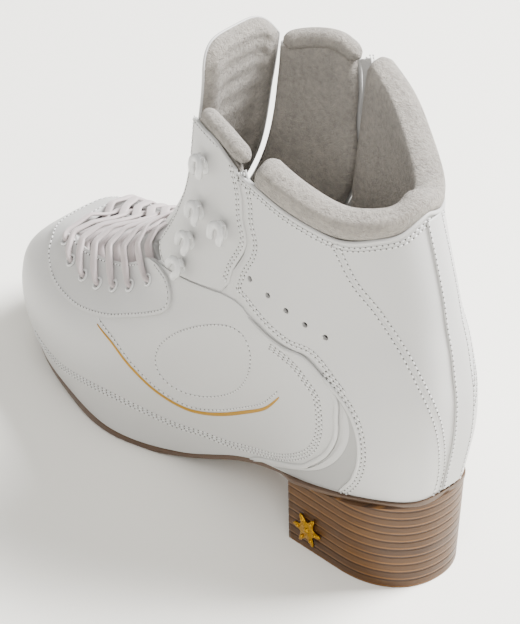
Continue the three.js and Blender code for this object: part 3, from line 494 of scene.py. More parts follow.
def brushed_suede(name, colour, nap):
    """Microfibre suede: short nap, soft mottling and a dusty sheen."""
    made = Finish(name, Roughness=0.97, Specular_IOR_Level=0.12, Sheen_Weight=0.35, Sheen_Roughness=0.6)
    coords = made.object_coords()
    mottle = made.noise(coords, 420.0, 4.0, 0.7)
    fibre = made.noise(coords, 1500.0, 3.0, 0.7)
    patchy = made.noise(coords, 70.0, 3.0, 0.55)
    shade = (mottle * 1.9 + fibre * 0.4 + patchy * 0.5 - 0.9).clamped()
    made.feed("Base Color", made.blend(shade, rgba(colour, 0.6), rgba(colour, 1.35)))
    made.feed("Normal", made.bump(mottle + fibre * 0.5, nap, 0.004))
    return made.material


def woven_lace(colour):
    """Flat woven lace: a fine herringbone of yarns that follows the ribbon."""
    made = Finish("woven_lace", Roughness=0.88, Specular_IOR_Level=0.2, Sheen_Weight=0.25)
    coords = made.uv_coords()
    along, around = made.axis(coords, "X"), made.axis(coords, "Y")
    slant = (around * 4.0).sine().absolute() * 1.6
    yarns = ((along + slant) * 6.2832).sine() * 0.5 + 0.5
    ribs = (around * 75.4).sine() * 0.5 + 0.5
    fuzz = made.noise(made.object_coords(), 1400.0, 2.0)
    height = yarns * 0.7 + ribs * 0.3
    made.feed("Base Color", made.blend(height * 0.7 + fuzz * 0.4, rgba(colour, 0.74), rgba(colour, 1.04)))
    made.feed("Normal", made.bump(height + fuzz * 0.3, 0.55, 0.0003))
    return made.material


def thread(name, colour):
    made = Finish(name, Roughness=0.62, Specular_IOR_Level=0.35)
    twist = made.noise(made.object_coords(), 2600.0, 1.0)
    made.feed("Base Color", made.blend(twist, rgba(colour, 0.84), rgba(colour, 1.05)))
    made.feed("Normal", made.bump(twist, 0.3, 0.0002))
    return made.material


def lacquered_metal(colour):
    """White lacquer on metal, with a slight orange peel."""
    made = Finish("lacquered_metal", Metallic=0.0, Coat_Weight=0.5, Coat_Roughness=0.12)
    coords = made.object_coords()
    peel = made.noise(coords, 420.0, 2.0)
    made.feed("Base Color", made.blend(peel, rgba(colour, 0.95), rgba(colour, 1.0)))
    made.feed("Roughness", (peel * 0.12 + 0.28).clamped())
    made.feed("Normal", made.bump(peel, 0.12, 0.0003))
    return made.material


def gold_leaf(name, colour, metallic, roughness):
    made = Finish(name, Metallic=metallic)
    coords = made.object_coords()
    grain = made.noise(coords, 900.0, 3.0)
    made.feed("Base Color", made.blend(grain, rgba(colour, 0.82), rgba(colour, 1.12)))
    made.feed("Roughness", (grain * 0.16 + roughness).clamped())
    made.feed("Normal", made.bump(grain, 0.18, 0.0002))
    return made.material


def stacked_leather(light, dark, lift):
    """Varnished heel leather: lifts with dark glue lines, each of its own tone, and cut fibres, with a
    painted highlight along each lift and painted shadow beside each glue line.
    """
    made = Finish("stacked_leather", Coat_Weight=0.12, Coat_Roughness=0.3, Specular_IOR_Level=0.25)
    coords = made.object_coords()
    waver = made.noise(coords, 55.0, 2.0)
    height = (made.axis(coords, "Z") + waver * 0.0007) / lift
    layer = height.floor()
    within = height % 1.0
    tone = made.node("ShaderNodeTexWhiteNoise", {"noise_dimensions": "1D"}, {"W": layer})
    fibres = made.noise(made.object_coords((70, 70, 1500)), 1.0, 4.0, 0.65)
    specks = made.noise(made.object_coords((260, 260, 900)), 1.0, 2.0)
    blot = made.noise(coords, 42.0, 3.0)
    shade = (tone * 0.35 + fibres * 0.85 + blot * 0.45 + specks * 0.3 - 0.42).clamped()
    # Dark band at each joint: the real dark glue line, widened by painted shadow along the groove beside it.
    seam = (1.0 - within * 7.0).clamped() + ((within - 0.9) * 9.0).clamped()
    colour = made.blend(shade, rgba(dark), rgba(light))
    # Painted highlight: a light line on each lift just above its glue line, in the light tone tripled.
    rim = (1.0 - ((within - 0.24) * 9.0).absolute()).clamped()
    colour = made.blend(rim * 0.55, colour, rgba(light, 3.0))
    # Glue lines and painted shadow: the dark tone at 0.4 along each joint.
    made.feed("Base Color", made.blend((seam * 0.75).clamped(), colour, rgba(dark, 0.4)))
    made.feed("Roughness", (0.3 + shade * 0.2).clamped())
    made.feed("Normal", made.bump(fibres * 0.6 - seam * 0.7 + specks * 0.3, 0.4, 0.0005))
    return made.material


def sole_leather(colour):
    made = Finish("sole_leather", Coat_Weight=0.25, Coat_Roughness=0.3)
    coords = made.object_coords()
    blot = made.noise(coords, 36.0, 4.0, 0.6)
    grain = made.noise(coords, 1100.0, 3.0)
    made.feed("Base Color", made.blend(blot * 0.7 + grain * 0.3, rgba(colour, 0.6), rgba(colour, 1.35)))
    made.feed("Roughness", (0.38 + grain * 0.2).clamped())
    made.feed("Normal", made.bump(grain + blot, 0.2, 0.0004))
    return made.material


def plain_finish(name, colour, roughness, metallic=0.0):
    """For the hidden pieces: board, stiffener, steel and clear tips."""
    made = Finish(name, Metallic=metallic)
    coords = made.object_coords()
    mottle = made.noise(coords, 260.0, 4.0)
    made.feed("Base Color", made.blend(mottle, rgba(colour, 0.8), rgba(colour, 1.1)))
    made.feed("Roughness", (mottle * 0.15 + roughness).clamped())
    made.feed("Normal", made.bump(mottle, 0.2, 0.0004))
    return made.material


def pale_floor(colour):
    made = Finish("pale_floor", Roughness=0.9, Specular_IOR_Level=0.1)
    cloud = made.noise(made.object_coords(), 2.0, 1.0)
    made.feed("Base Color", made.blend(cloud, rgba(colour, 0.995), rgba(colour, 1.0)))
    return made.material


# ---------- settings ----------
def colour_setting(name, description, default):
    return FloatVectorProperty(
        name=name, description=description, default=default, subtype="COLOR", size=3, min=0.0, max=1.0
    )


def length_setting(name, description, default):
    return FloatProperty(
        name=name, description=description, default=default, subtype="DISTANCE", unit="LENGTH"
    )


class BootColours(bpy.types.PropertyGroup):
    leather: colour_setting("Leather", "Coated leather of the upper", (0.50, 0.495, 0.483))
    suede: colour_setting("Suede", "Lining and collar", (0.34, 0.305, 0.262))
    lace: colour_setting("Lace", "Woven lace", (0.52, 0.455, 0.45))
    thread: colour_setting("Thread", "Sewing thread", (0.70, 0.70, 0.69))
    needle_hole: colour_setting("Needle holes", "Shadow in the needle holes", (0.07, 0.065, 0.06))
    lacquer: colour_setting("Lacquer", "Eyelets and hooks", (0.60, 0.60, 0.59))
    gold: colour_setting("Gold", "Trace on the outer side and heel ornament", (0.42, 0.22, 0.012))
    heel_light: colour_setting("Heel, light", "Light tone of the stacked heel", (0.095, 0.041, 0.009))
    heel_dark: colour_setting("Heel, dark", "Dark tone of the stacked heel", (0.022, 0.007, 0.0015))
    sole: colour_setting("Sole", "Sole leather", (0.07, 0.034, 0.014))
    floor: colour_setting("Floor", "Pale floor", (0.95, 0.93, 0.865))


class BootSizes(bpy.types.PropertyGroup):
    lace_width: length_setting("Lace width", "Width of the flat lace", 0.0045)
    lace_length: length_setting("Lace length", "Length of the lace from tip to tip", 2.286)
    lace_thickness: length_setting("Lace thickness", "Thickness of the flat lace", 0.0016)
    stitch_pitch: length_setting("Stitch pitch", "Distance from one stitch to the next", 0.0026)
    stitch_length: length_setting("Stitch length", "Length of a stitch", 0.0020)
    thread_radius: length_setting("Thread radius", "Half the thickness of the thread", 0.00046)
    lift_height: length_setting("Lift height", "Height of one layer of the stacked heel", 0.0046)
    hook_rod: length_setting("Hook rod", "Thickness of a lacing hook's rod", 0.0041)
    eyelet_bore: length_setting("Eyelet bore", "Radius of the hole in an eyelet", 0.0021)
    eyelet_sides: IntProperty(name="Eyelet sides", description="Sides of the eyelet rings", default=24, min=8)


def finishes():
    """The materials, made once."""
    c = bpy.context.scene.boot_colours
    s = bpy.context.scene.boot_sizes
    makers = {
        "leather": lambda: coated_leather(c.leather),
        "suede": lambda: brushed_suede("collar_suede", c.suede, 0.85),
        # The crescent is the upper's leather darkened to 0.62: painted shade of the recessed crescent.
        "crescent": lambda: coated_leather([channel * 0.62 for channel in c.leather], "crescent_painted_shade_leather"),
        "lace": lambda: woven_lace(c.lace),
        "thread": lambda: thread("sewing_thread", c.thread),
        # Dark thread colour for the spots that stand as painted shadow in the needle holes.
        "needle_hole": lambda: thread("needle_hole", c.needle_hole),
        "lacquer": lambda: lacquered_metal(c.lacquer),
        "trace": lambda: gold_leaf("gold_print", c.gold, 0.35, 0.35),
        "ornament": lambda: gold_leaf("gold_plate", c.gold, 1.0, 0.2),
        "heel": lambda: stacked_leather(c.heel_light, c.heel_dark, s.lift_height),
        "sole": lambda: sole_leather(c.sole),
        "board": lambda: plain_finish("fibre_board", (0.5, 0.36, 0.2), 0.8),
        "stiffener": lambda: plain_finish("stiffener_sheet", (0.7, 0.66, 0.58), 0.6),
        "steel": lambda: plain_finish("spring_steel", (0.5, 0.51, 0.52), 0.3, 1.0),
        "tip": lambda: plain_finish("clear_tip", (0.8, 0.78, 0.72), 0.2),
        "floor": lambda: pale_floor(c.floor),
    }

    def get(name):
        if name not in MADE:
            MADE[name] = makers[name]()
        return MADE[name]

    return get


MADE = {}


# ---------- building pieces ----------
def new_piece(name, bm, finish, body, replaces=()):
    """Turns a bmesh in metres into a piece that rides on a body."""
    mesh = bpy.data.meshes.new(name)
    bmesh.ops.recalc_face_normals(bm, faces=bm.faces)
    bm.to_mesh(mesh)
    bm.free()
    piece = bpy.data.objects.new(name, mesh)
    bpy.context.scene.collection.objects.link(piece)
    mesh.materials.append(finishes()(finish))
    for face in mesh.polygons:
        face.use_smooth = True
    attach(piece, body)
    if replaces:
        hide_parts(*replaces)
    return piece


def shaped_grid(columns, rows, shape):
    """A grid whose points are moved to shape(along, across), with shares of the grid as UV."""
    bm = bmesh.new()
    bmesh.ops.create_grid(bm, x_segments=columns, y_segments=rows, size=0.5, calc_uvs=True)
    bm.verts.ensure_lookup_table()
    flat = np.array([v.co[:2] for v in bm.verts]) + 0.5
    for vert, point in zip(bm.verts, shape(flat[:, 0], flat[:, 1])):
        vert.co = point
    return bm


def sheet_mesh(place, columns, rows, off):
    def shape(along, across):
        p = place(along, across)
        return placed(off_face(p[:, 0], p[:, 1], np.full(len(along), float(off))))

    return shaped_grid(columns, rows, shape)


def faces_outward(bm, place):
    """Turns the sheet's faces away from the foot, so that its thickness grows inwards."""
    middle = np.array([0.5])
    p = place(middle + 0.13, middle)
    here = surface(p[:, 0], p[:, 1])[0]
    normal = outward(p[:, 0], p[:, 1])[0]
    target = Vector(placed(here))
    bm.normal_update()
    nearest = min(bm.faces, key=lambda f: (f.calc_center_median() - target).length_squared)
    if nearest.normal.dot(Vector(normal)) < 0:
        bmesh.ops.reverse_faces(bm, faces=bm.faces)


def leather_sheet(name, place, columns, rows, outer, thickness, body, replaces, finish="leather", punches=(),
                  edge=0.5):
    """A sheet of leather on the boot's face, with its real thickness and softened edges."""
    bm = sheet_mesh(place, columns, rows, outer)
    faces_outward(bm, place)
    mesh = bpy.data.meshes.new(name)
    bm.to_mesh(mesh)
    bm.free()
    piece = bpy.data.objects.new(name, mesh)
    bpy.context.scene.collection.objects.link(piece)
    mesh.materials.append(finishes()(finish))
    for face in mesh.polygons:
        face.use_smooth = True
    solid = piece.modifiers.new("thickness", "SOLIDIFY")
    solid.thickness = thickness * MM
    solid.offset = -1
    if punches:
        cut = piece.modifiers.new("holes", "BOOLEAN")
        cut.operation = "DIFFERENCE"
        cut.solver = "EXACT"
        cut.object = punch_tool(punches)
        settle(piece, [cut.object])
    soften = piece.modifiers.new("soft_edges", "BEVEL")
    soften.width = edge * MM
    soften.segments = 2
    soften.limit_method = "ANGLE"
    soften.angle_limit = math.radians(50)
    settle(piece, [])
    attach(piece, body)
    if replaces:
        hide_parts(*replaces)
    return piece


def settle(piece, tools):
    """Applies a piece's modifiers and removes the tools that they used."""
    shown = piece.evaluated_get(bpy.context.evaluated_depsgraph_get())
    made = bpy.data.meshes.new_from_object(shown)
    old = piece.data
    piece.modifiers.clear()
    piece.data = made
    made.name = old.name
    bpy.data.meshes.remove(old)
    for tool in tools:
        bpy.data.objects.remove(tool)


def seat(turn, up, off):
    """The frame at a place on the boot: X up the boot, Z outwards, in metres."""
    z = outward([turn], [up])[0]
    climb = (surface([turn], [up + 0.01]) - surface([turn], [up - 0.01]))[0]
    x = unit(climb - z * climb.dot(z))
    y = np.cross(z, x)
    made = Matrix(np.stack([x, y, z], -1).tolist()).to_4x4()
    made.translation = Vector(placed(off_face([turn], [up], [off])[0]))
    return made


def punch_tool(punches):
    """One object that holds the round punches for a sheet, as (turn, up, radius)."""
    bm = bmesh.new()
    for turn, up, radius in punches:
        bmesh.ops.create_cone(
            bm, cap_ends=True, segments=16, radius1=radius * MM, radius2=radius * MM, depth=0.012,
            matrix=seat(turn, up, 0),
        )
    mesh = bpy.data.meshes.new("punches")
    bm.to_mesh(mesh)
    bm.free()
    tool = bpy.data.objects.new("punches", mesh)
    bpy.context.scene.collection.objects.link(tool)
    bpy.context.view_layer.update()
    return tool


def both_sides(points):
    return [*points, *[(-turn, up) for turn, up in points]]


def sweep_mesh(path, wide, half_width, half_height, sides=12, power=0.8, pitch=0.002):
    """A rounded strip along a path in metres. wide holds the direction of its width at each point."""
    path, wide = np.asarray(path, float), np.asarray(wide, float)
    count = len(path)
    along = unit(np.gradient(path, axis=0))
    wide = unit(wide - along * (wide * along).sum(-1, keepdims=True))
    high = np.cross(along, wide)
    run = np.concatenate([[0], np.cumsum(np.linalg.norm(np.diff(path, axis=0), axis=1))])
    half_width = np.broadcast_to(half_width, count)
    half_height = np.broadcast_to(half_height, count)

    def shape(share, around):
        i = np.clip(np.rint(share * (count - 1)).astype(int), 0, count - 1)
        angle = 2 * np.pi * around
        c, s = np.cos(angle), np.sin(angle)
        w = np.sign(c) * np.abs(c) ** power * half_width[i]
        h = np.sign(s) * np.abs(s) ** power * half_height[i]
        return path[i] + wide[i] * w[:, None] + high[i] * h[:, None]

    bm = shaped_grid(count - 1, sides, shape)
    uv = bm.loops.layers.uv.verify()
    for face in bm.faces:
        for loop in face.loops:
            loop[uv].uv.x *= run[-1] / pitch
    bmesh.ops.remove_doubles(bm, verts=bm.verts, dist=1e-7)
    ends = [e for e in bm.edges if e.is_boundary]
    bmesh.ops.holes_fill(bm, edges=ends, sides=0)
    return bm


def trail(points, off, spacing, shift=0.0):
    """Points every spacing metres along a line of the pattern, with directions along and outwards."""
    dense = line(points)(np.linspace(0, 1, 300))
    p = off_face(dense[:, 0], dense[:, 1], np.full(300, float(off)))
    out = outward(dense[:, 0], dense[:, 1])
    p = p + unit(np.cross(out, unit(np.gradient(p, axis=0)))) * shift
    run = np.concatenate([[0], np.cumsum(np.linalg.norm(np.diff(p, axis=0), axis=1))])
    count = max(int(run[-1] / (spacing / MM)), 2)
    at = np.linspace(0, run[-1], count)
    p, out = ([np.interp(at, run, column) for column in both.T] for both in (p, out))
    p, out = np.stack(p, -1), unit(np.stack(out, -1))
    return placed(p), unit(np.gradient(p, axis=0)), out


def piping(name, points, off, radius, body, finish="leather", flat=1.0):
    """A rolled edge along a line of the pattern."""
    path, along, out = trail(points, off, 0.0015)
    taper = np.clip(np.minimum(np.arange(len(path)), np.arange(len(path))[::-1]) / 4, 0.15, 1) ** 0.5
    bm = sweep_mesh(path, np.cross(along, out), radius * MM * taper, radius * flat * MM * taper, 10, 1.0)
    return new_piece(name, bm, finish, body)


def sew(rows, name, body):
    """Stitches, with dark marks as painted shadow in their needle holes, along rows of (points, height of the
    leather, shifts).
    """
    s = bpy.context.scene.boot_sizes
    stitches, holes = bmesh.new(), bmesh.new()
    for points, off, shifts in rows:
        for shift in shifts:
            path, along, out = trail(points, off, s.stitch_pitch, shift)
            for p, a, o in zip(path, along, out):
                basis = Matrix(np.stack([a, np.cross(o, a), o], -1).tolist()).to_4x4()
                size = Vector((s.stitch_length / 2, s.thread_radius, s.thread_radius * 0.8))
                lift = Vector(o) * s.thread_radius * 0.25
                put = Matrix.Translation(Vector(p) + lift) @ basis @ Matrix.Diagonal(size).to_4x4()
                bmesh.ops.create_icosphere(stitches, subdivisions=1, radius=1, matrix=put)
                # Painted shadow: a dark flattened spot at the needle hole between two stitches.
                shadow_spot = Vector(p) + Vector(a) * s.stitch_pitch / 2
                size = Vector((s.thread_radius * 0.85, s.thread_radius * 1.1, s.thread_radius * 0.35))
                put = Matrix.Translation(shadow_spot) @ basis @ Matrix.Diagonal(size).to_4x4()
                bmesh.ops.create_icosphere(holes, subdivisions=1, radius=1, matrix=put)
    new_piece(f"{name}_stitches", stitches, "thread", body)
    new_piece(f"{name}_needle_holes", holes, "needle_hole", body)


# ---------- stage ----------
VIEW_TURN = 0.786232
VIEW_RISE = 0.638479
VIEW_ROLL = -0.0164793
VIEW_DISTANCE = 2735.8
VIEW_TARGET = (130, 0, 80)
VIEW_LENS = 338.8
VIEW_SHIFT = (0.02615, 0.0056)


def camera_matrix():
    s, c = math.sin(VIEW_TURN), math.cos(VIEW_TURN)
    back = Vector((-s * math.cos(VIEW_RISE), c * math.cos(VIEW_RISE), math.sin(VIEW_RISE)))
    right = Vector((-c, -s, 0))
    up = back.cross(right)
    sr, cr = math.sin(VIEW_ROLL), math.cos(VIEW_ROLL)
    made = Matrix((cr * right - sr * up, sr * right + cr * up, back)).transposed().to_4x4()
    made.translation = Vector(placed(VIEW_TARGET)) + back * VIEW_DISTANCE * MM
    return made


def area_light(name, place, size, power, colour=(1, 1, 1)):
    data = bpy.data.lights.new(name, "AREA")
    data.size = size
    data.energy = power
    data.color = colour
    lamp = bpy.data.objects.new(name, data)
    lamp.location = place
    aim = Vector((0, 0, 0.09)) - Vector(place)
    lamp.rotation_euler = aim.to_track_quat("-Z", "Y").to_euler()
    bpy.context.scene.collection.objects.link(lamp)


class BOOT_OT_stage(bpy.types.Operator):
    """Camera, soft lights and a pale floor"""

    bl_idname = "boot.stage"
    bl_label = "Stage"

    def execute(self, context):
        data = bpy.data.cameras.new("camera")
        data.lens = VIEW_LENS
        data.sensor_width = 36
        data.shift_x, data.shift_y = VIEW_SHIFT
        data.clip_end = 50
        camera = bpy.data.objects.new("camera", data)
        camera.matrix_world = camera_matrix()
        context.scene.collection.objects.link(camera)
        context.scene.camera = camera
        bm = bmesh.new()
        bmesh.ops.create_grid(bm, x_segments=1, y_segments=1, size=6)
        mesh = bpy.data.meshes.new("floor")
        bm.to_mesh(mesh)
        bm.free()
        floor = bpy.data.objects.new("floor", mesh)
        context.scene.collection.objects.link(floor)
        mesh.materials.append(finishes()("floor"))
        area_light("key", (-0.6, -1.0, 1.6), 0.8, 165)
        area_light("fill", (-1.0, 1.1, 1.3), 1.3, 26, (1, 0.99, 0.97))
        area_light("side", (1.5, 0.5, 1.4), 1.0, 8)
        world = bpy.data.worlds.new("studio")
        world.use_nodes = True
        world.node_tree.nodes["Background"].inputs["Color"].default_value = (1, 0.985, 0.955, 1)
        world.node_tree.nodes["Background"].inputs["Strength"].default_value = 0.5
        context.scene.world = world
        return {"FINISHED"}


# ---------- lace ----------
UNDER = -3.2
OVER = 2.7
LOWER = -4.4
UPPER = -1.9
HANK_X = 50
HANK_HALF = 20
HANK_LAYERS = 6
FOOTBED_RISE = 9.0


def ridge_up(row):
    """Where a strand between two rows of eyelets passes over the ridge of the foot."""
    nearest = min(row + 1, len(EYELETS) - 1)
    turns, ups = zip(EYELETS[row], EYELETS[nearest])
    middle = surface(turns, ups).mean(0)
    ups = np.linspace(0.45, 0.8, 400)
    zero = np.zeros(400)
    along = surface(zero, ups + 0.01) - surface(zero, ups - 0.01)
    rest = surface(zero, ups) - middle
    short = rest[:, 0] * along[:, 0] + rest[:, 2] * along[:, 2]
    return float(ups[np.argmin(np.abs(short))])


def strand(side, row, level):
    """One strand: out of the eyelet, over the facing, across the ridge and under the other facing."""
    r0, u0 = EYELETS[row]
    r1, u1 = EYELETS[min(row + 1, len(EYELETS) - 1)]
    top = ridge_up(row)
    edge = 0.14 if row else 0.3
    t = np.concatenate([[0, 0], [0.05, edge], np.linspace(edge + 0.14, 0.98, 6)])
    offs = np.interp(t, [0, edge, 0.5, 0.72, 0.86, 1], [OVER, OVER, level, (level + UNDER) / 2, UNDER, UNDER])
    offs[0] = UNDER
    bow = 1 - (2 * t - 1) ** 2
    turn = side * (r0 - (r0 + r1) * t)
    up = u0 + (u1 - u0) * t + bow * (top - (u0 + u1) / 2)
    return np.stack([turn, up, offs], -1)


def on_boot(points):
    """Places on the boot as a row each of position and of the direction that the lace's flat side faces."""
    turn, up, off = np.asarray(points, float).T
    return np.hstack([off_face(turn, up, off), outward(turn, up)])


def lace_half(side):
    rows = []
    for row in range(len(EYELETS)):
        start = side * (-1 if row % 2 else 1)
        rows.append(strand(start, row, UPPER if start > 0 else LOWER))
    end = -side if len(EYELETS) % 2 else side
    rows.append(np.array([(end * 0.4, 0.59, UNDER - 0.6), (end * 0.44, 0.585, UNDER - 2.2)]))
    return on_boot(np.vstack(rows)), end


def hank_frame():
    """The tilt and the middle of the hank of spare lace on the footbed."""
    low, high = (float(feather_z(np.array([x]))[0]) for x in (HANK_X + 20, HANK_X - 20))
    tilt = math.atan2(high - low, 40)
    middle = float(feather_z(np.array([float(HANK_X)]))[0]) + FOOTBED_RISE + 7.5
    return Matrix.Translation((HANK_X, 0, middle)) @ Matrix.Rotation(tilt, 4, "Y")


def hank_turns(side):
    """Runs of the hank on one side, folded back and forth in layers, from its front end."""
    points = []
    forward = False
    inner_levels = range(3, 6) if side < 0 else range(3)
    for y, levels in ((0.0, inner_levels), (side * 5.6, range(HANK_LAYERS))):
        for level in levels:
            z = (level - (HANK_LAYERS - 1) / 2) * 2.25
            xs = (-HANK_HALF, HANK_HALF) if forward else (HANK_HALF, -HANK_HALF)
            points += [(x, y, z) for x in np.linspace(*xs, 5)]
            forward = not forward
    return points


def hank_path(side):
    """The spare lace on one side: down from the boot's front, through the hank, to its tip."""
    place = hank_frame()
    points = [(HANK_HALF + 7, side * 4, 3), (HANK_HALF + 2, side * 4, 2), *hank_turns(side)]
    points += [(-HANK_HALF + 1, side * 9.6, -5.6), (-9.5, side * 10.2, -5.8)]
    up = place.to_3x3() @ Vector((0, 0, 1))
    return [(*(place @ Vector(p)), *up) for p in points]


def lace_path():
    """The whole lace in millimetres, from one tip to the other, with the way its flat side faces."""
    parts = []
    for points, end in (lace_half(1), lace_half(-1)):
        tail = [(122, end * 25, 100), (112, end * 18, 92), (104, end * 13, 84), (88, end * 8, 69)]
        tail = [(*p, 0.4, 0, 0.9) for p in tail]
        parts.append(np.vstack([points, tail, hank_path(end)]))
    turn, up = EYELETS[0]
    bar = [(share * turn, up + 0.004, UNDER) for share in (0.75, 0.45, 0.15, -0.15, -0.45, -0.75)]
    return np.vstack([parts[0][::-1], on_boot(bar), parts[1]])


def rounded(path, spacing, passes):
    """The path at an even spacing, with its corners eased."""
    run = np.concatenate([[0], np.cumsum(np.linalg.norm(np.diff(path[:, :3], axis=0), axis=1))])
    at = np.linspace(0, run[-1], int(run[-1] / spacing))
    path = np.stack([np.interp(at, run, column) for column in path.T], -1)
    for _ in range(passes):
        path[1:-1] = path[1:-1] * 0.5 + (path[:-2] + path[2:]) * 0.25
    return path


def lace_width_axis(path, facing):
    """The direction of the ribbon's width: across the lace, in the plane that its flat side faces."""
    along = unit(np.gradient(path, axis=0))
    wide = np.cross(along, facing)
    strength = np.linalg.norm(wide, axis=1)
    for i in range(1, len(path)):
        if strength[i] < 0.55:
            wide[i] = wide[i - 1] - along[i] * wide[i - 1].dot(along[i])
        if wide[i].dot(wide[i - 1]) < 0:
            wide[i] *= -1
        wide[i] /= max(np.linalg.norm(wide[i]), 1e-9)
    for _ in range(5):
        wide[1:-1] = unit(wide[1:-1] + 0.5 * (wide[:-2] + wide[2:]))
    return wide


def build_lace(context):
    s = context.scene.boot_sizes
    rows = rounded(lace_path(), 1.0, 3)
    path, facing = rows[:, :3], unit(rows[:, 3:])
    wide = lace_width_axis(path, facing)
    holes = on_boot([(turn, up, off) for turn, up in both_sides(EYELETS) for off in (-2.5, 0, 2)])[:, :3]
    gap = np.min(np.linalg.norm(path[:, None] - holes[None], axis=2), axis=1)
    open_share = np.clip((gap - 2.2) / 7, 0, 1)
    half = s.lace_width / 2 * (0.47 + 0.53 * open_share)
    thick = s.lace_thickness / 2 * (1.7 - 0.7 * open_share)
    bm = sweep_mesh(placed(path), wide, half, thick, 12, 0.7)
    lace = new_piece("woven_lace", bm, "lace", "boot", ["lace", "lace_hank"])
    tips = [bpy.data.objects[name] for name in ("outer_aglet", "inner_aglet")]
    for tip in tips:
        tip.data.materials.clear()
        tip.data.materials.append(finishes()("tip"))


class BOOT_OT_lace(bpy.types.Operator):
    """The flat woven lace, laced through the eyelets, with its spare length inside the boot"""

    bl_idname = "boot.lace"
    bl_label = "Lace"

    def execute(self, context):
        build_lace(context)
        return {"FINISHED"}


# ---------- upper ----------
class BOOT_OT_panels(bpy.types.Operator):
    """Leather panels of the upper"""

    bl_idname = "boot.panels"
    bl_label = "Leather panels"

    def execute(self, context):
        bore = context.scene.boot_sizes.eyelet_bore / MM
        eyelets = [(turn, up, bore + 0.5) for turn, up in both_sides(EYELETS)]
        leather_sheet("front_leather", front_place, 200, 34, 0, LEATHER, "boot", ["front_panel"],
                      punches=eyelets)
        for name, side in (("outer", 1), ("inner", -1)):
            vents = [(turn * side, up, 1.5) for turn, up in VENTS]
            leather_sheet(f"{name}_quarter_leather", on_side(quarter_place, side), 44, 80, 0, LEATHER, "boot",
                          [f"{name}_quarter"], punches=vents)
        leather_sheet("back_leather", on_side(back_place, 1), 60, 80, 0, LEATHER, "boot", ["back_panel"])
        return {"FINISHED"}


class BOOT_OT_overlays(bpy.types.Operator):
    """Eyelet facing, back strap, crescents and rolled edges"""

    bl_idname = "boot.overlays"
    bl_label = "Overlays"

    def execute(self, context):
        bore = context.scene.boot_sizes.eyelet_bore / MM
        eyelets = [(turn, up, bore + 0.5) for turn, up in both_sides(EYELETS)]
        leather_sheet("eyelet_facing", patch_place, 190, 14, FACING_OFF, FACING_THICKNESS, "boot",
                      ["eyelet_patch"], punches=eyelets)
        leather_sheet("back_strap_leather", block(0.985, 1.085, 0.012, 0.975), 12, 80, 1.1, 1.2, "boot",
                      ["back_strap"])
        for name, side in (("outer", 1), ("inner", -1)):
            place = on_side(crescent_place, side)
            # The crescent sheets wear the darkened leather, which is painted shade of the recess.
            leather_sheet(f"{name}_crescent_leather", place, 10, 60, 0.14, 0.5, "boot",
                          [f"{name}_crescent_inlay"], finish="crescent", edge=0.1)
            edge = [(turn * side * 0.997, up) for turn, up in FRONT_REAR[2:]]
            piping(f"{name}_rolled_edge", edge, 0.15, 1.35, "boot", flat=0.7)
            rim = [(turn * side, up) for turn, up in CRESCENT_REAR]
            piping(f"{name}_crescent_rim", rim, 0.2, 1.1, "boot", flat=0.8)
            underlap(name, side)
        return {"FINISHED"}


def underlap(name, side):
    """The leather that runs on under the seam between the front pieces and the quarter."""
    seam = [(turn + 0.006, up) for turn, up in [*FRONT_REAR[::-1], *FLAP_BACK[1:]]]
    middle = line(seam)

    def place(along, across):
        p = middle(across)
        return np.stack([p[:, 0] - 0.006 + 0.021 * along, p[:, 1] + 0.012 * (2 * along - 1)], -1)

    hidden_layer(f"{name}_underlap", on_side(place, side), 6, 150, -0.75, 0.7, "boot")
    foot = line([(0.335, 0.622), (0.4, 0.638), (0.478, 0.664)])

    def under_flap(along, across):
        p = foot(across)
        return np.stack([p[:, 0], p[:, 1] - 0.014 + 0.028 * along], -1)

    hidden_layer(f"{name}_flap_underlap", on_side(under_flap, side), 6, 40, -0.95, 0.6, "boot")


def hidden_layer(name, place, columns, rows, outer, thickness, body, finish="leather"):
    """A hidden layer between others, which stands for no solid."""
    return leather_sheet(name, place, columns, rows, outer, thickness, body, [], finish=finish, edge=0.1)


class BOOT_OT_flaps(bpy.types.Operator):
    """Ankle flaps that carry the hooks, and their padding"""

    bl_idname = "boot.flaps"
    bl_label = "Ankle flaps"

    def execute(self, context):
        for name, side in (("outer", 1), ("inner", -1)):
            body = f"{name}_flap"
            leather_sheet(f"{name}_flap_leather", flap_on(side), 40, 60, FLAP_OFF, LEATHER, body,
                          [f"{name}_ankle_flap"])
            build_flap_padding(name, side, body)
            build_flap_roll(name, side, body)
        return {"FINISHED"}


def edge_swell(along, across, sharp_along, sharp_across):
    """How full a pad is: 0 at its edges and 1 in its middle."""
    sides = np.minimum(along, 1 - along) * sharp_along
    ends = np.minimum(across, 1 - across) * sharp_across
    return np.clip(np.minimum(sides, ends), 0, 1)


def build_flap_padding(name, side, body):
    place = flap_on(side)

    def shrunk(along, across):
        forward = 0.12 * np.clip((across - 0.3) * 4, 0, 1)
        return place(0.03 - forward * 0.35 + (0.955 + forward * 0.35) * along, 0.09 + 0.9 * across)


    def shape(along, across):
        p = shrunk(along, across)
        swell = edge_swell(along, across, 6, 9)
        off = -3.1 - 4.4 * np.sqrt(1 - (1 - swell) ** 2)
        return placed(off_face(p[:, 0], p[:, 1], off))

    bm = shaped_grid(40, 60, shape)
    back = sheet_mesh(shrunk, 40, 60, -3.0)
    join_sheets(bm, back)
    piece = new_piece(f"{name}_flap_pad", bm, "suede", body, [f"{name}_flap_padding"])


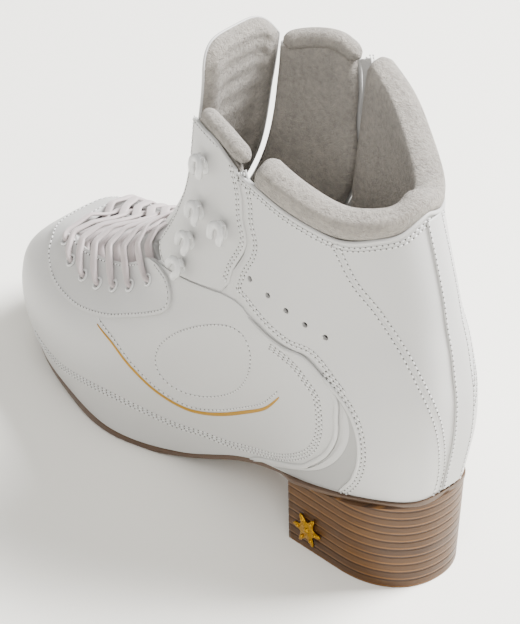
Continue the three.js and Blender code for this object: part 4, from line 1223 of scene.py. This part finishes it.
def build_flap_roll(name, side, body):
    """The suede roll along the flap's top edge, which carries the collar's line forwards."""
    turns = np.linspace(0.262, 0.448, 12)
    edge = line([*FLAP_TOP[:-1], (0.437, 1.0), (0.47, 0.992)])(np.linspace(0, 1, 60))
    ups = np.interp(turns, edge[:, 0], edge[:, 1]) + 0.008
    rise = flap_rise(turns, ups) if side < 0 else 0
    path, along, out = trail(list(zip(turns * side, ups + rise)), -5.6, 0.0015)
    ends = np.clip(np.minimum(np.arange(len(path)), np.arange(len(path))[::-1]) / 4, 0, 1)
    size = np.sqrt(np.clip(1 - (1 - ends) ** 2, 0.03, 1))
    bm = sweep_mesh(path, out, 4.3 * MM * size, 4.6 * MM * size, 20, 1.0)
    piece = new_piece(f"{name}_flap_roll", bm, "suede", body)


def join_sheets(bm, other):
    """Joins two grids with the same outline into one closed piece."""
    mesh = bpy.data.meshes.new("other_face")
    other.to_mesh(mesh)
    other.free()
    bm.from_mesh(mesh)
    bpy.data.meshes.remove(mesh)
    edges = [e for e in bm.edges if e.is_boundary]
    bmesh.ops.bridge_loops(bm, edges=edges)


class BOOT_OT_tongue(bpy.types.Operator):
    """Tongue: leather outside, suede padding inside, and its fixed base under the lace"""

    bl_idname = "boot.tongue"
    bl_label = "Tongue"

    def execute(self, context):
        sides = (-0.245, 0.222)

        def place(along, across):
            top = 1.175 - 0.06 * (2 * along - 1) ** 4
            return np.stack([sides[0] + (sides[1] - sides[0]) * along, 0.725 + (top - 0.725) * across], -1)

        leather_sheet("tongue_face", place, 40, 80, -2.4, 1.3, "tongue", ["tongue_leather"])

        def shape(along, across):
            p = place(0.01 + 0.98 * along, 0.004 + 0.992 * across)
            swell = edge_swell(along, across, 7, 14)
            ribs = 0.25 * np.sin(across * 60) * swell
            off = -3.8 - (6.1 + ribs) * np.sqrt(1 - (1 - swell) ** 2)
            return placed(off_face(p[:, 0], p[:, 1], off))

        bm = shaped_grid(44, 90, shape)
        join_sheets(bm, sheet_mesh(lambda a, b: place(0.01 + 0.98 * a, 0.004 + 0.992 * b), 44, 90, -3.72))
        pad = new_piece("tongue_pad", bm, "suede", "tongue", ["tongue_padding"])

        def base(along, across):
            up = 0.42 + 0.299 * across
            half = 0.4 + (0.235 - 0.4) * np.clip((up - 0.57) / 0.07, 0, 1)
            return np.stack([-half + 2 * half * along, up], -1)

        leather_sheet("tongue_foot", base, 60, 40, -5.9, 3, "boot", ["tongue_base"])
        return {"FINISHED"}


def collar_profile(turn):
    """The padded collar's outline at one place, as up and off pairs from its lower outer corner."""
    edge = float(collar_up(turn + np.linspace(-0.04, 0.04, 7)).mean())
    base, crest = edge + 0.004, edge + COLLAR_RISE + 0.018
    deep = -(LEATHER + COLLAR_DEPTH + 1)
    outside = [(COLLAR_APRON, -2.3), ((COLLAR_APRON + base) / 2, -2.4), (base - 0.012, -2.2), (base, -0.5),
               (base + 0.012, 1.3), ((base + crest) / 2 + 0.004, 2.2), (crest - 0.014, 0.6)]
    inside = [(crest + 0.002, -4.6), (crest - 0.012, deep + 1.2), ((base + crest) / 2, deep - 0.3),
              (base - 0.02, deep + 0.2), ((COLLAR_APRON + base) / 2, deep + 0.8),
              (COLLAR_APRON + 0.02, deep + 1.6),
              (COLLAR_APRON - 0.004, deep + 5)]
    return np.array(outside + inside)


class BOOT_OT_collar(bpy.types.Operator):
    """Padded suede collar and the leather roll below it"""

    bl_idname = "boot.collar"
    bl_label = "Padded collar"

    def execute(self, context):
        turns = np.linspace(COLLAR_FROM, 2 - COLLAR_FROM, 121)
        rings = []
        for i, turn in enumerate(turns):
            profile = collar_profile(turn)
            loop = line([*profile, profile[0]])(np.linspace(0, 1, 49))
            close = min(i, len(turns) - 1 - i) / 3
            shrink = math.sqrt(max(1 - (1 - min(close, 1)) ** 2, 0.02))
            centre = loop.mean(0)
            rings.append(centre + (loop - centre) * shrink)
        rings = np.array(rings)

        def shape(along, across):
            i = np.rint(along * 120).astype(int)
            j = np.rint(across * 48).astype(int)
            up, off = rings[i, j].T
            return placed(off_face(turns[i], up, off))

        bm = shaped_grid(120, 48, shape)
        bmesh.ops.remove_doubles(bm, verts=bm.verts, dist=2e-6)
        bmesh.ops.holes_fill(bm, edges=[e for e in bm.edges if e.is_boundary], sides=0)
        pad = new_piece("suede_collar", bm, "suede", "boot", ["padded_collar"])
        around = np.linspace(COLLAR_FROM - 0.03, 2 - COLLAR_FROM + 0.03, 60)
        edge = list(zip(around, collar_up(around)))
        piping("collar_roll", edge, 0.35, 1.05, "boot", flat=0.9)
        return {"FINISHED"}


# ---------- sewing ----------
def mirrored(points, rise=None):
    return [(-turn, up + (rise(turn, up) if rise else 0)) for turn, up in points]


def shaft_rise(turn, up):
    return float(inner_rise(np.array(turn))) * min(max((up - COLLAR_APRON) / 0.2, 0), 1)


def trace_loop():
    """A plain oval, as a skate's edge leaves it, sewn on the outer side."""
    angle = np.linspace(0, 2 * math.pi, 25)
    return list(zip(0.522 + 0.05 * np.cos(angle), 0.40 + 0.15 * np.sin(angle)))


TRACE = [(0.405, 0.355), (0.432, 0.335), (0.458, 0.29), (0.482, 0.235), (0.51, 0.188), (0.54, 0.182),
         (0.568, 0.215), (0.592, 0.262), (0.61, 0.33)]


class BOOT_OT_sewing(bpy.types.Operator):
    """Rows of stitches, with painted shadow in their needle holes"""

    bl_idname = "boot.sewing"
    bl_label = "Stitching"

    def execute(self, context):
        inset = 2.4
        rows = []
        for flip in (False, True):
            def side(points, rise=None):
                return mirrored(points, rise) if flip else list(points)

            sign = -1 if flip else 1
            rows.append((side(LOWER_SEAM), 0, (-1.6, 0, 1.6)))
            rows.append((side(QUARTER_FRONT[6:], shaft_rise), 0, (-sign * inset, -sign * (inset + 1.9))))
            rows.append((side(BACK_SEAM, shaft_rise), 0, (-1.7, 1.7)))
            rows.append((side(CRESCENT_REAR), 0, (-sign * 1.3, -sign * 3.2)))
            rows.append((side(PATCH_EDGE), FACING_OFF, (sign * 1.6,)))
            rows.append((side(THROAT[:7]), FACING_OFF, (-sign * 1.6,)))
        around = np.linspace(COLLAR_FROM - 0.03, 2 - COLLAR_FROM + 0.03, 40)
        rows.append((list(zip(around, collar_up(around))), 0, (-2.6, -4.4)))
        for turn in (0.989, 1.081):
            rows.append(([(turn, up) for up in np.linspace(0.02, 0.965, 12)], 1.1, (0,)))
        rows.append((trace_loop(), 0, (0,)))
        rows.append((TRACE, 0, (2.6,)))
        sew(rows, "upper", "boot")
        for name, sign in (("outer", 1), ("inner", -1)):
            lift = (lambda turn, up: float(flap_rise(turn, up))) if sign < 0 else None
            edges = [FLAP_FRONT, FLAP_BACK[1:], FLAP_TOP[:-1]]
            if sign < 0:
                edges = [mirrored(edge, lift) for edge in edges]
            shifts = (-sign * 1.6,), (sign * 1.7, sign * 3.4), (-sign * 1.6,)
            flap_rows = [(edge, FLAP_OFF, shift) for edge, shift in zip(edges, shifts)]
            sew(flap_rows, f"{name}_flap", f"{name}_flap")
        return {"FINISHED"}


class BOOT_OT_trace(bpy.types.Operator):
    """Thin gold curve printed on the outer side"""

    bl_idname = "boot.trace"
    bl_label = "Gold trace"

    def execute(self, context):
        path, along, out = trail(TRACE, 0.12, 0.001)
        share = np.linspace(0, 1, len(path))
        half = (0.25 + 0.75 * np.sin(np.pi * share) ** 0.6) * 1.15 * MM
        bm = sweep_mesh(path, np.cross(along, out), half, np.full(len(path), 0.00016), 8, 0.9)
        new_piece("gold_trace", bm, "trace", "boot")
        return {"FINISHED"}


# ---------- metal ----------
def eyelet_ring(bm, turn, up, bore, sides):
    """A rolled eyelet ring with its barrel, turned from its outline."""
    profile = [(bore, -3.3), (bore + 0.35, -3.3), (bore + 0.35, FACING_OFF), (bore + 1.25, FACING_OFF),
               (bore + 1.35, 1.55),
               (bore + 0.95, 2.0), (bore + 0.35, 2.1), (bore, 1.7)]
    ring = bmesh.new()
    verts = [ring.verts.new((x * MM, 0, z * MM)) for x, z in profile]
    edges = [ring.edges.new((a, b)) for a, b in zip(verts, [*verts[1:], verts[0]])]
    bmesh.ops.spin(ring, geom=[*verts, *edges], cent=(0, 0, 0), axis=(0, 0, 1), angle=2 * math.pi,
                   steps=sides, use_merge=True)
    bmesh.ops.transform(ring, matrix=seat(turn, up, 0), verts=ring.verts)
    add_to(bm, ring)


def add_to(bm, part):
    mesh = bpy.data.meshes.new("part")
    bmesh.ops.recalc_face_normals(part, faces=part.faces)
    part.to_mesh(mesh)
    part.free()
    bm.from_mesh(mesh)
    bpy.data.meshes.remove(mesh)


def hook_rod(bm, place, rod):
    """A lacing hook: a bent rod with two prongs, its neck and its riveted foot."""
    half = 3.5
    arch = [(half * math.cos(a), half * math.sin(a)) for a in np.linspace(math.pi, 0, 13)]
    flat = [(-half, -5.6), (-half, -4.0), (-half, -2), *arch, (half, -2), (half, -4.5), (half, -7.6)]
    bent = [(y, x + 1.8, 3.4 + 1.4 * math.cos((x + 1.5) * 0.24)) for y, x in flat]
    points = line(bent)(np.linspace(0, 1, 46))
    path = np.array([(x, y, z) for y, x, z in points]) * MM
    ends = np.clip(np.minimum(np.arange(46), np.arange(46)[::-1]) / 4, 0, 1)
    round_off = np.sqrt(np.clip(1 - (1 - ends) ** 2, 0.04, 1))
    wide = np.cross(unit(np.gradient(path, axis=0)), [0, 0, 1])
    part = sweep_mesh(path, wide, rod / 2 * round_off, rod / 2 * 0.72 * round_off, 12, 0.9)
    bmesh.ops.transform(part, matrix=place, verts=part.verts)
    add_to(bm, part)
    neck = line([(5.6, 0, 4.4), (7.0, 0, 3.2), (6.4, 0, 1.6), (3.4, 0, 0.75), (0, 0, 0.6)])
    neck = neck(np.linspace(0, 1, 20)) * MM
    part = sweep_mesh(neck, np.tile([0, 1.0, 0], (20, 1)), 0.0021, 0.0006, 12, 0.8)
    bmesh.ops.transform(part, matrix=place, verts=part.verts)
    add_to(bm, part)
    foot = bmesh.new()
    bmesh.ops.create_uvsphere(foot, u_segments=24, v_segments=10, radius=1,
                              matrix=Matrix.Diagonal((0.0045, 0.0036, 0.0009, 1)))
    bmesh.ops.transform(foot, matrix=place, verts=foot.verts)
    add_to(bm, foot)


class BOOT_OT_metal(bpy.types.Operator):
    """Eyelets and lacing hooks"""

    bl_idname = "boot.metal"
    bl_label = "Eyelets and hooks"

    def execute(self, context):
        s = context.scene.boot_sizes
        rings = bmesh.new()
        for turn, up in both_sides(EYELETS):
            eyelet_ring(rings, turn, up, s.eyelet_bore / MM, s.eyelet_sides)
        nodes = [f"{side}_eyelet_{i + 1}" for side in ("outer", "inner") for i in range(len(EYELETS))]
        new_piece("eyelet_rings", rings, "lacquer", "boot", nodes)
        for name, side in (("outer", 1), ("inner", -1)):
            hooks = bmesh.new()
            for turn, up in HOOKS:
                rise = float(flap_rise(turn, up)) if side < 0 else 0
                hook_rod(hooks, seat(turn * side, up + rise, 0.15), s.hook_rod)
            nodes = [f"{name}_hook_{i + 1}" for i in range(len(HOOKS))]
            new_piece(f"{name}_lacing_hooks", hooks, "lacquer", f"{name}_flap", nodes)
        return {"FINISHED"}


# ---------- sole and heel ----------
def sole_z(x):
    """Height of the underside of the sole."""
    curve = smooth_table(SOLE_X, SOLE_Z, np.clip(x, SOLE_X[0], SOLE_X[-1]))
    curve = np.where((x >= 156) & (x <= 196), 0, np.maximum(curve, 0))
    return np.where(x < SOLE_X[0], feather_z(x) - 2.7, curve)


def sole_loop(x_share, around):
    """The outsole, as rings across the foot from heel to toe, with rounded edges."""
    turn = 0.975 - 0.95 * x_share
    outer, inner = surface(turn, np.zeros_like(turn)), surface(-turn, np.zeros_like(turn))
    out_n = unit(outward(turn, np.zeros_like(turn)) * [1, 1, 0])
    in_n = unit(outward(-turn, np.zeros_like(turn)) * [1, 1, 0])
    reach_x = [0, 40, HEEL_BREAST_X - 2, HEEL_BREAST_X + 8]
    reach = np.interp(outer[:, 0], reach_x, [0.9, 1.5, 2.1, -0.6])[:, None]
    outer, inner = outer + out_n * reach, inner + in_n * reach
    x = (outer[:, 0] + inner[:, 0]) / 2
    angle = 2 * np.pi * around
    c, s = np.cos(angle), np.sin(angle)
    side = (np.sign(c) * np.abs(c) ** 0.12 + 1) / 2
    high = (np.sign(s) * np.abs(s) ** 0.3 + 1) / 2
    y = inner[:, 1] + (outer[:, 1] - inner[:, 1]) * side
    low, top = sole_z(x), feather_z(x) - 0.1
    return placed(np.stack([x, y, low + (top - low) * high], -1))


def heel_outline(at, grow):
    """A point of the heel's outline: straight sides, a flat breast and a round back."""
    half = HEEL_HALF_WIDTH + grow
    angle = np.pi / 2 - np.pi * np.clip((at - 0.16) / 0.54, 0, 1)
    c, s = np.cos(angle), np.sin(angle)
    x = HEEL_ROUND - (HEEL_ROUND + grow) * np.abs(c) ** 0.91
    y = np.sign(s) * half * np.abs(s) ** 0.91
    first, last = np.clip(at / 0.16, 0, 1), np.clip((at - 0.7) / 0.16, 0, 1)
    x = np.where(at < 0.16, HEEL_BREAST_X + (HEEL_ROUND - HEEL_BREAST_X) * first, x)
    y = np.where(at < 0.16, half, y)
    x = np.where(at > 0.7, HEEL_ROUND + (HEEL_BREAST_X - HEEL_ROUND) * last, x)
    y = np.where(at > 0.7, -half, y)
    breast = np.clip((at - 0.86) / 0.14, 0, 1)
    return np.where(at > 0.86, HEEL_BREAST_X - 1.2 * np.sin(np.pi * breast), x), np.where(
        at > 0.86, -half + 2 * half * breast, y
    )


def heel_shape(height_share, around, lift):
    """The stacked heel's side, with a shallow groove at each glue line."""
    x, _ = heel_outline(around, HEEL_FLARE)
    z = (sole_z(x) + 0.05) * height_share
    groove = np.abs(((z + lift / 2) % lift) - lift / 2)
    grow = HEEL_FLARE * z / HEEL_STACK - 0.22 * np.exp(-((groove / 0.28) ** 2))
    x, y = heel_outline(around, grow)
    return placed(np.stack([x, y, z], -1))


class BOOT_OT_sole(bpy.types.Operator):
    """Outsole, stacked heel and the heel's ornament"""

    bl_idname = "boot.sole"
    bl_label = "Sole and heel"

    def execute(self, context):
        lift = context.scene.boot_sizes.lift_height / MM
        bm = shaped_grid(150, 48, sole_loop)
        bmesh.ops.remove_doubles(bm, verts=bm.verts, dist=1e-6)
        bmesh.ops.holes_fill(bm, edges=[e for e in bm.edges if e.is_boundary], sides=0)
        new_piece("leather_outsole", bm, "sole", "boot", ["outsole"])
        bm = shaped_grid(120, 150, lambda a, b: heel_shape(a, b, lift))
        bmesh.ops.remove_doubles(bm, verts=bm.verts, dist=2e-6)
        bmesh.ops.holes_fill(bm, edges=[e for e in bm.edges if e.is_boundary], sides=0)
        lifts = [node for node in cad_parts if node.startswith("heel_lift_")]
        nodes = ["heel_top_piece", "heel_seat_wedge", *lifts]
        new_piece("stacked_heel", bm, "heel", "boot", nodes)
        self.ornament()
        return {"FINISHED"}

    def ornament(self):
        """A six-armed snow star cut from gold plate, with a raised boss."""
        low, high = (Vector(corner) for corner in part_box("heel_emblem"))
        middle, radius = (low + high) / 2, (high.x - low.x) / 2
        bm = bmesh.new()
        count = 48
        ring = []
        for i in range(count):
            angle = 2 * math.pi * i / count
            reach = 0.52 + 0.48 * (0.5 + 0.5 * math.cos(6 * angle)) ** 2.2
            ring.append(bm.verts.new((radius * reach * math.cos(angle), radius * reach * math.sin(angle), 0)))
        face = bm.faces.new(ring)
        raised = bmesh.ops.extrude_face_region(bm, geom=[face])
        top = [v for v in raised["geom"] if isinstance(v, bmesh.types.BMVert)]
        bmesh.ops.translate(bm, verts=top, vec=(0, 0, 0.0011))
        bmesh.ops.bevel(bm, geom=[e for e in bm.edges if all(v in top for v in e.verts)], offset=0.0003,
                        segments=2, profile=0.5, affect="EDGES", material=-1)
        for i in range(7):
            angle = 2 * math.pi * i / 6
            reach = 0 if i == 6 else radius * 0.62
            place = Matrix.Translation((reach * math.cos(angle), reach * math.sin(angle), 0.0011))
            size = 0.0017 if i == 6 else 0.0010
            bmesh.ops.create_uvsphere(bm, u_segments=12, v_segments=8, radius=1,
                                      matrix=place @ Matrix.Diagonal((size, size, 0.0008, 1)))
        turn = Matrix.Rotation(-math.pi / 2, 4, "X")
        bmesh.ops.transform(bm, matrix=Matrix.Translation((middle.x, low.y, middle.z)) @ turn, verts=bm.verts)
        new_piece("heel_ornament", bm, "ornament", "boot", ["heel_emblem"])


def footbed_loop(x_share, around):
    """The padded footbed, as rings across the foot, with its crowned top."""
    turn = 0.96 - 0.92 * x_share
    up = np.full(len(turn), 0.03)
    outer, inner = surface(turn, up), surface(-turn, up)
    outer = outer - unit(outward(turn, up) * [1, 1, 0]) * 7.6
    inner = inner - unit(outward(-turn, up) * [1, 1, 0]) * 7.6
    x = (outer[:, 0] + inner[:, 0]) / 2
    angle = 2 * np.pi * around
    c, s = np.cos(angle), np.sin(angle)
    side = (np.sign(c) * np.abs(c) ** 0.3 + 1) / 2
    high = (np.sign(s) * np.abs(s) ** 0.5 + 1) / 2
    y = inner[:, 1] + (outer[:, 1] - inner[:, 1]) * side
    crown = 3.4 + 1.1 * (1 - (2 * side - 1) ** 2)
    return placed(np.stack([x, y, feather_z(x) + 4.9 + crown * high], -1))


class BOOT_OT_inside(bpy.types.Operator):
    """The padded footbed, and the finishes of the linings, boards and stiffeners"""

    bl_idname = "boot.inside"
    bl_label = "Inside"

    def execute(self, context):
        bm = shaped_grid(110, 40, footbed_loop)
        bmesh.ops.remove_doubles(bm, verts=bm.verts, dist=1e-6)
        bmesh.ops.holes_fill(bm, edges=[e for e in bm.edges if e.is_boundary], sides=0)
        pad = new_piece("padded_footbed", bm, "suede", "boot", ["footbed"])
        looks = {
            "suede": ("vamp_lining", "quarter_lining"),
            "board": ("insole_board", "cork_filler"),
            "stiffener": ("toe_puff", "heel_counter"),
            "steel": ("steel_shank",),
        }
        for finish, nodes in looks.items():
            for node in nodes:
                mesh = bpy.data.objects[node].data
                mesh.materials.clear()
                mesh.materials.append(finishes()(finish))
        return {"FINISHED"}


class BOOT_PT_panel(bpy.types.Panel):
    """Lists the pieces of the boot"""

    bl_idname = "BOOT_PT_panel"
    bl_label = "Skating boot"
    bl_space_type = "VIEW_3D"
    bl_region_type = "UI"
    bl_category = "Boot"

    def draw(self, context):
        for operator in OPERATORS:
            self.layout.operator(operator.bl_idname)
        for settings in (context.scene.boot_sizes, context.scene.boot_colours):
            for name in settings.__annotations__:
                self.layout.prop(settings, name)


OPERATORS = (
    BOOT_OT_stage, BOOT_OT_lace, BOOT_OT_panels, BOOT_OT_overlays, BOOT_OT_flaps, BOOT_OT_tongue,
    BOOT_OT_collar, BOOT_OT_metal, BOOT_OT_sole, BOOT_OT_trace, BOOT_OT_sewing, BOOT_OT_inside,
)
CLASSES = (BootColours, BootSizes, *OPERATORS, BOOT_PT_panel)


def register():
    for cls in CLASSES:
        bpy.utils.register_class(cls)
    bpy.types.Scene.boot_colours = PointerProperty(type=BootColours)
    bpy.types.Scene.boot_sizes = PointerProperty(type=BootSizes)


def unregister():
    del bpy.types.Scene.boot_sizes
    del bpy.types.Scene.boot_colours
    for cls in reversed(CLASSES):
        bpy.utils.unregister_class(cls)


def main():
    register()
    for operator in OPERATORS:
        group, name = operator.bl_idname.split(".")
        getattr(getattr(bpy.ops, group), name)()


if __name__ == "__main__":
    main()
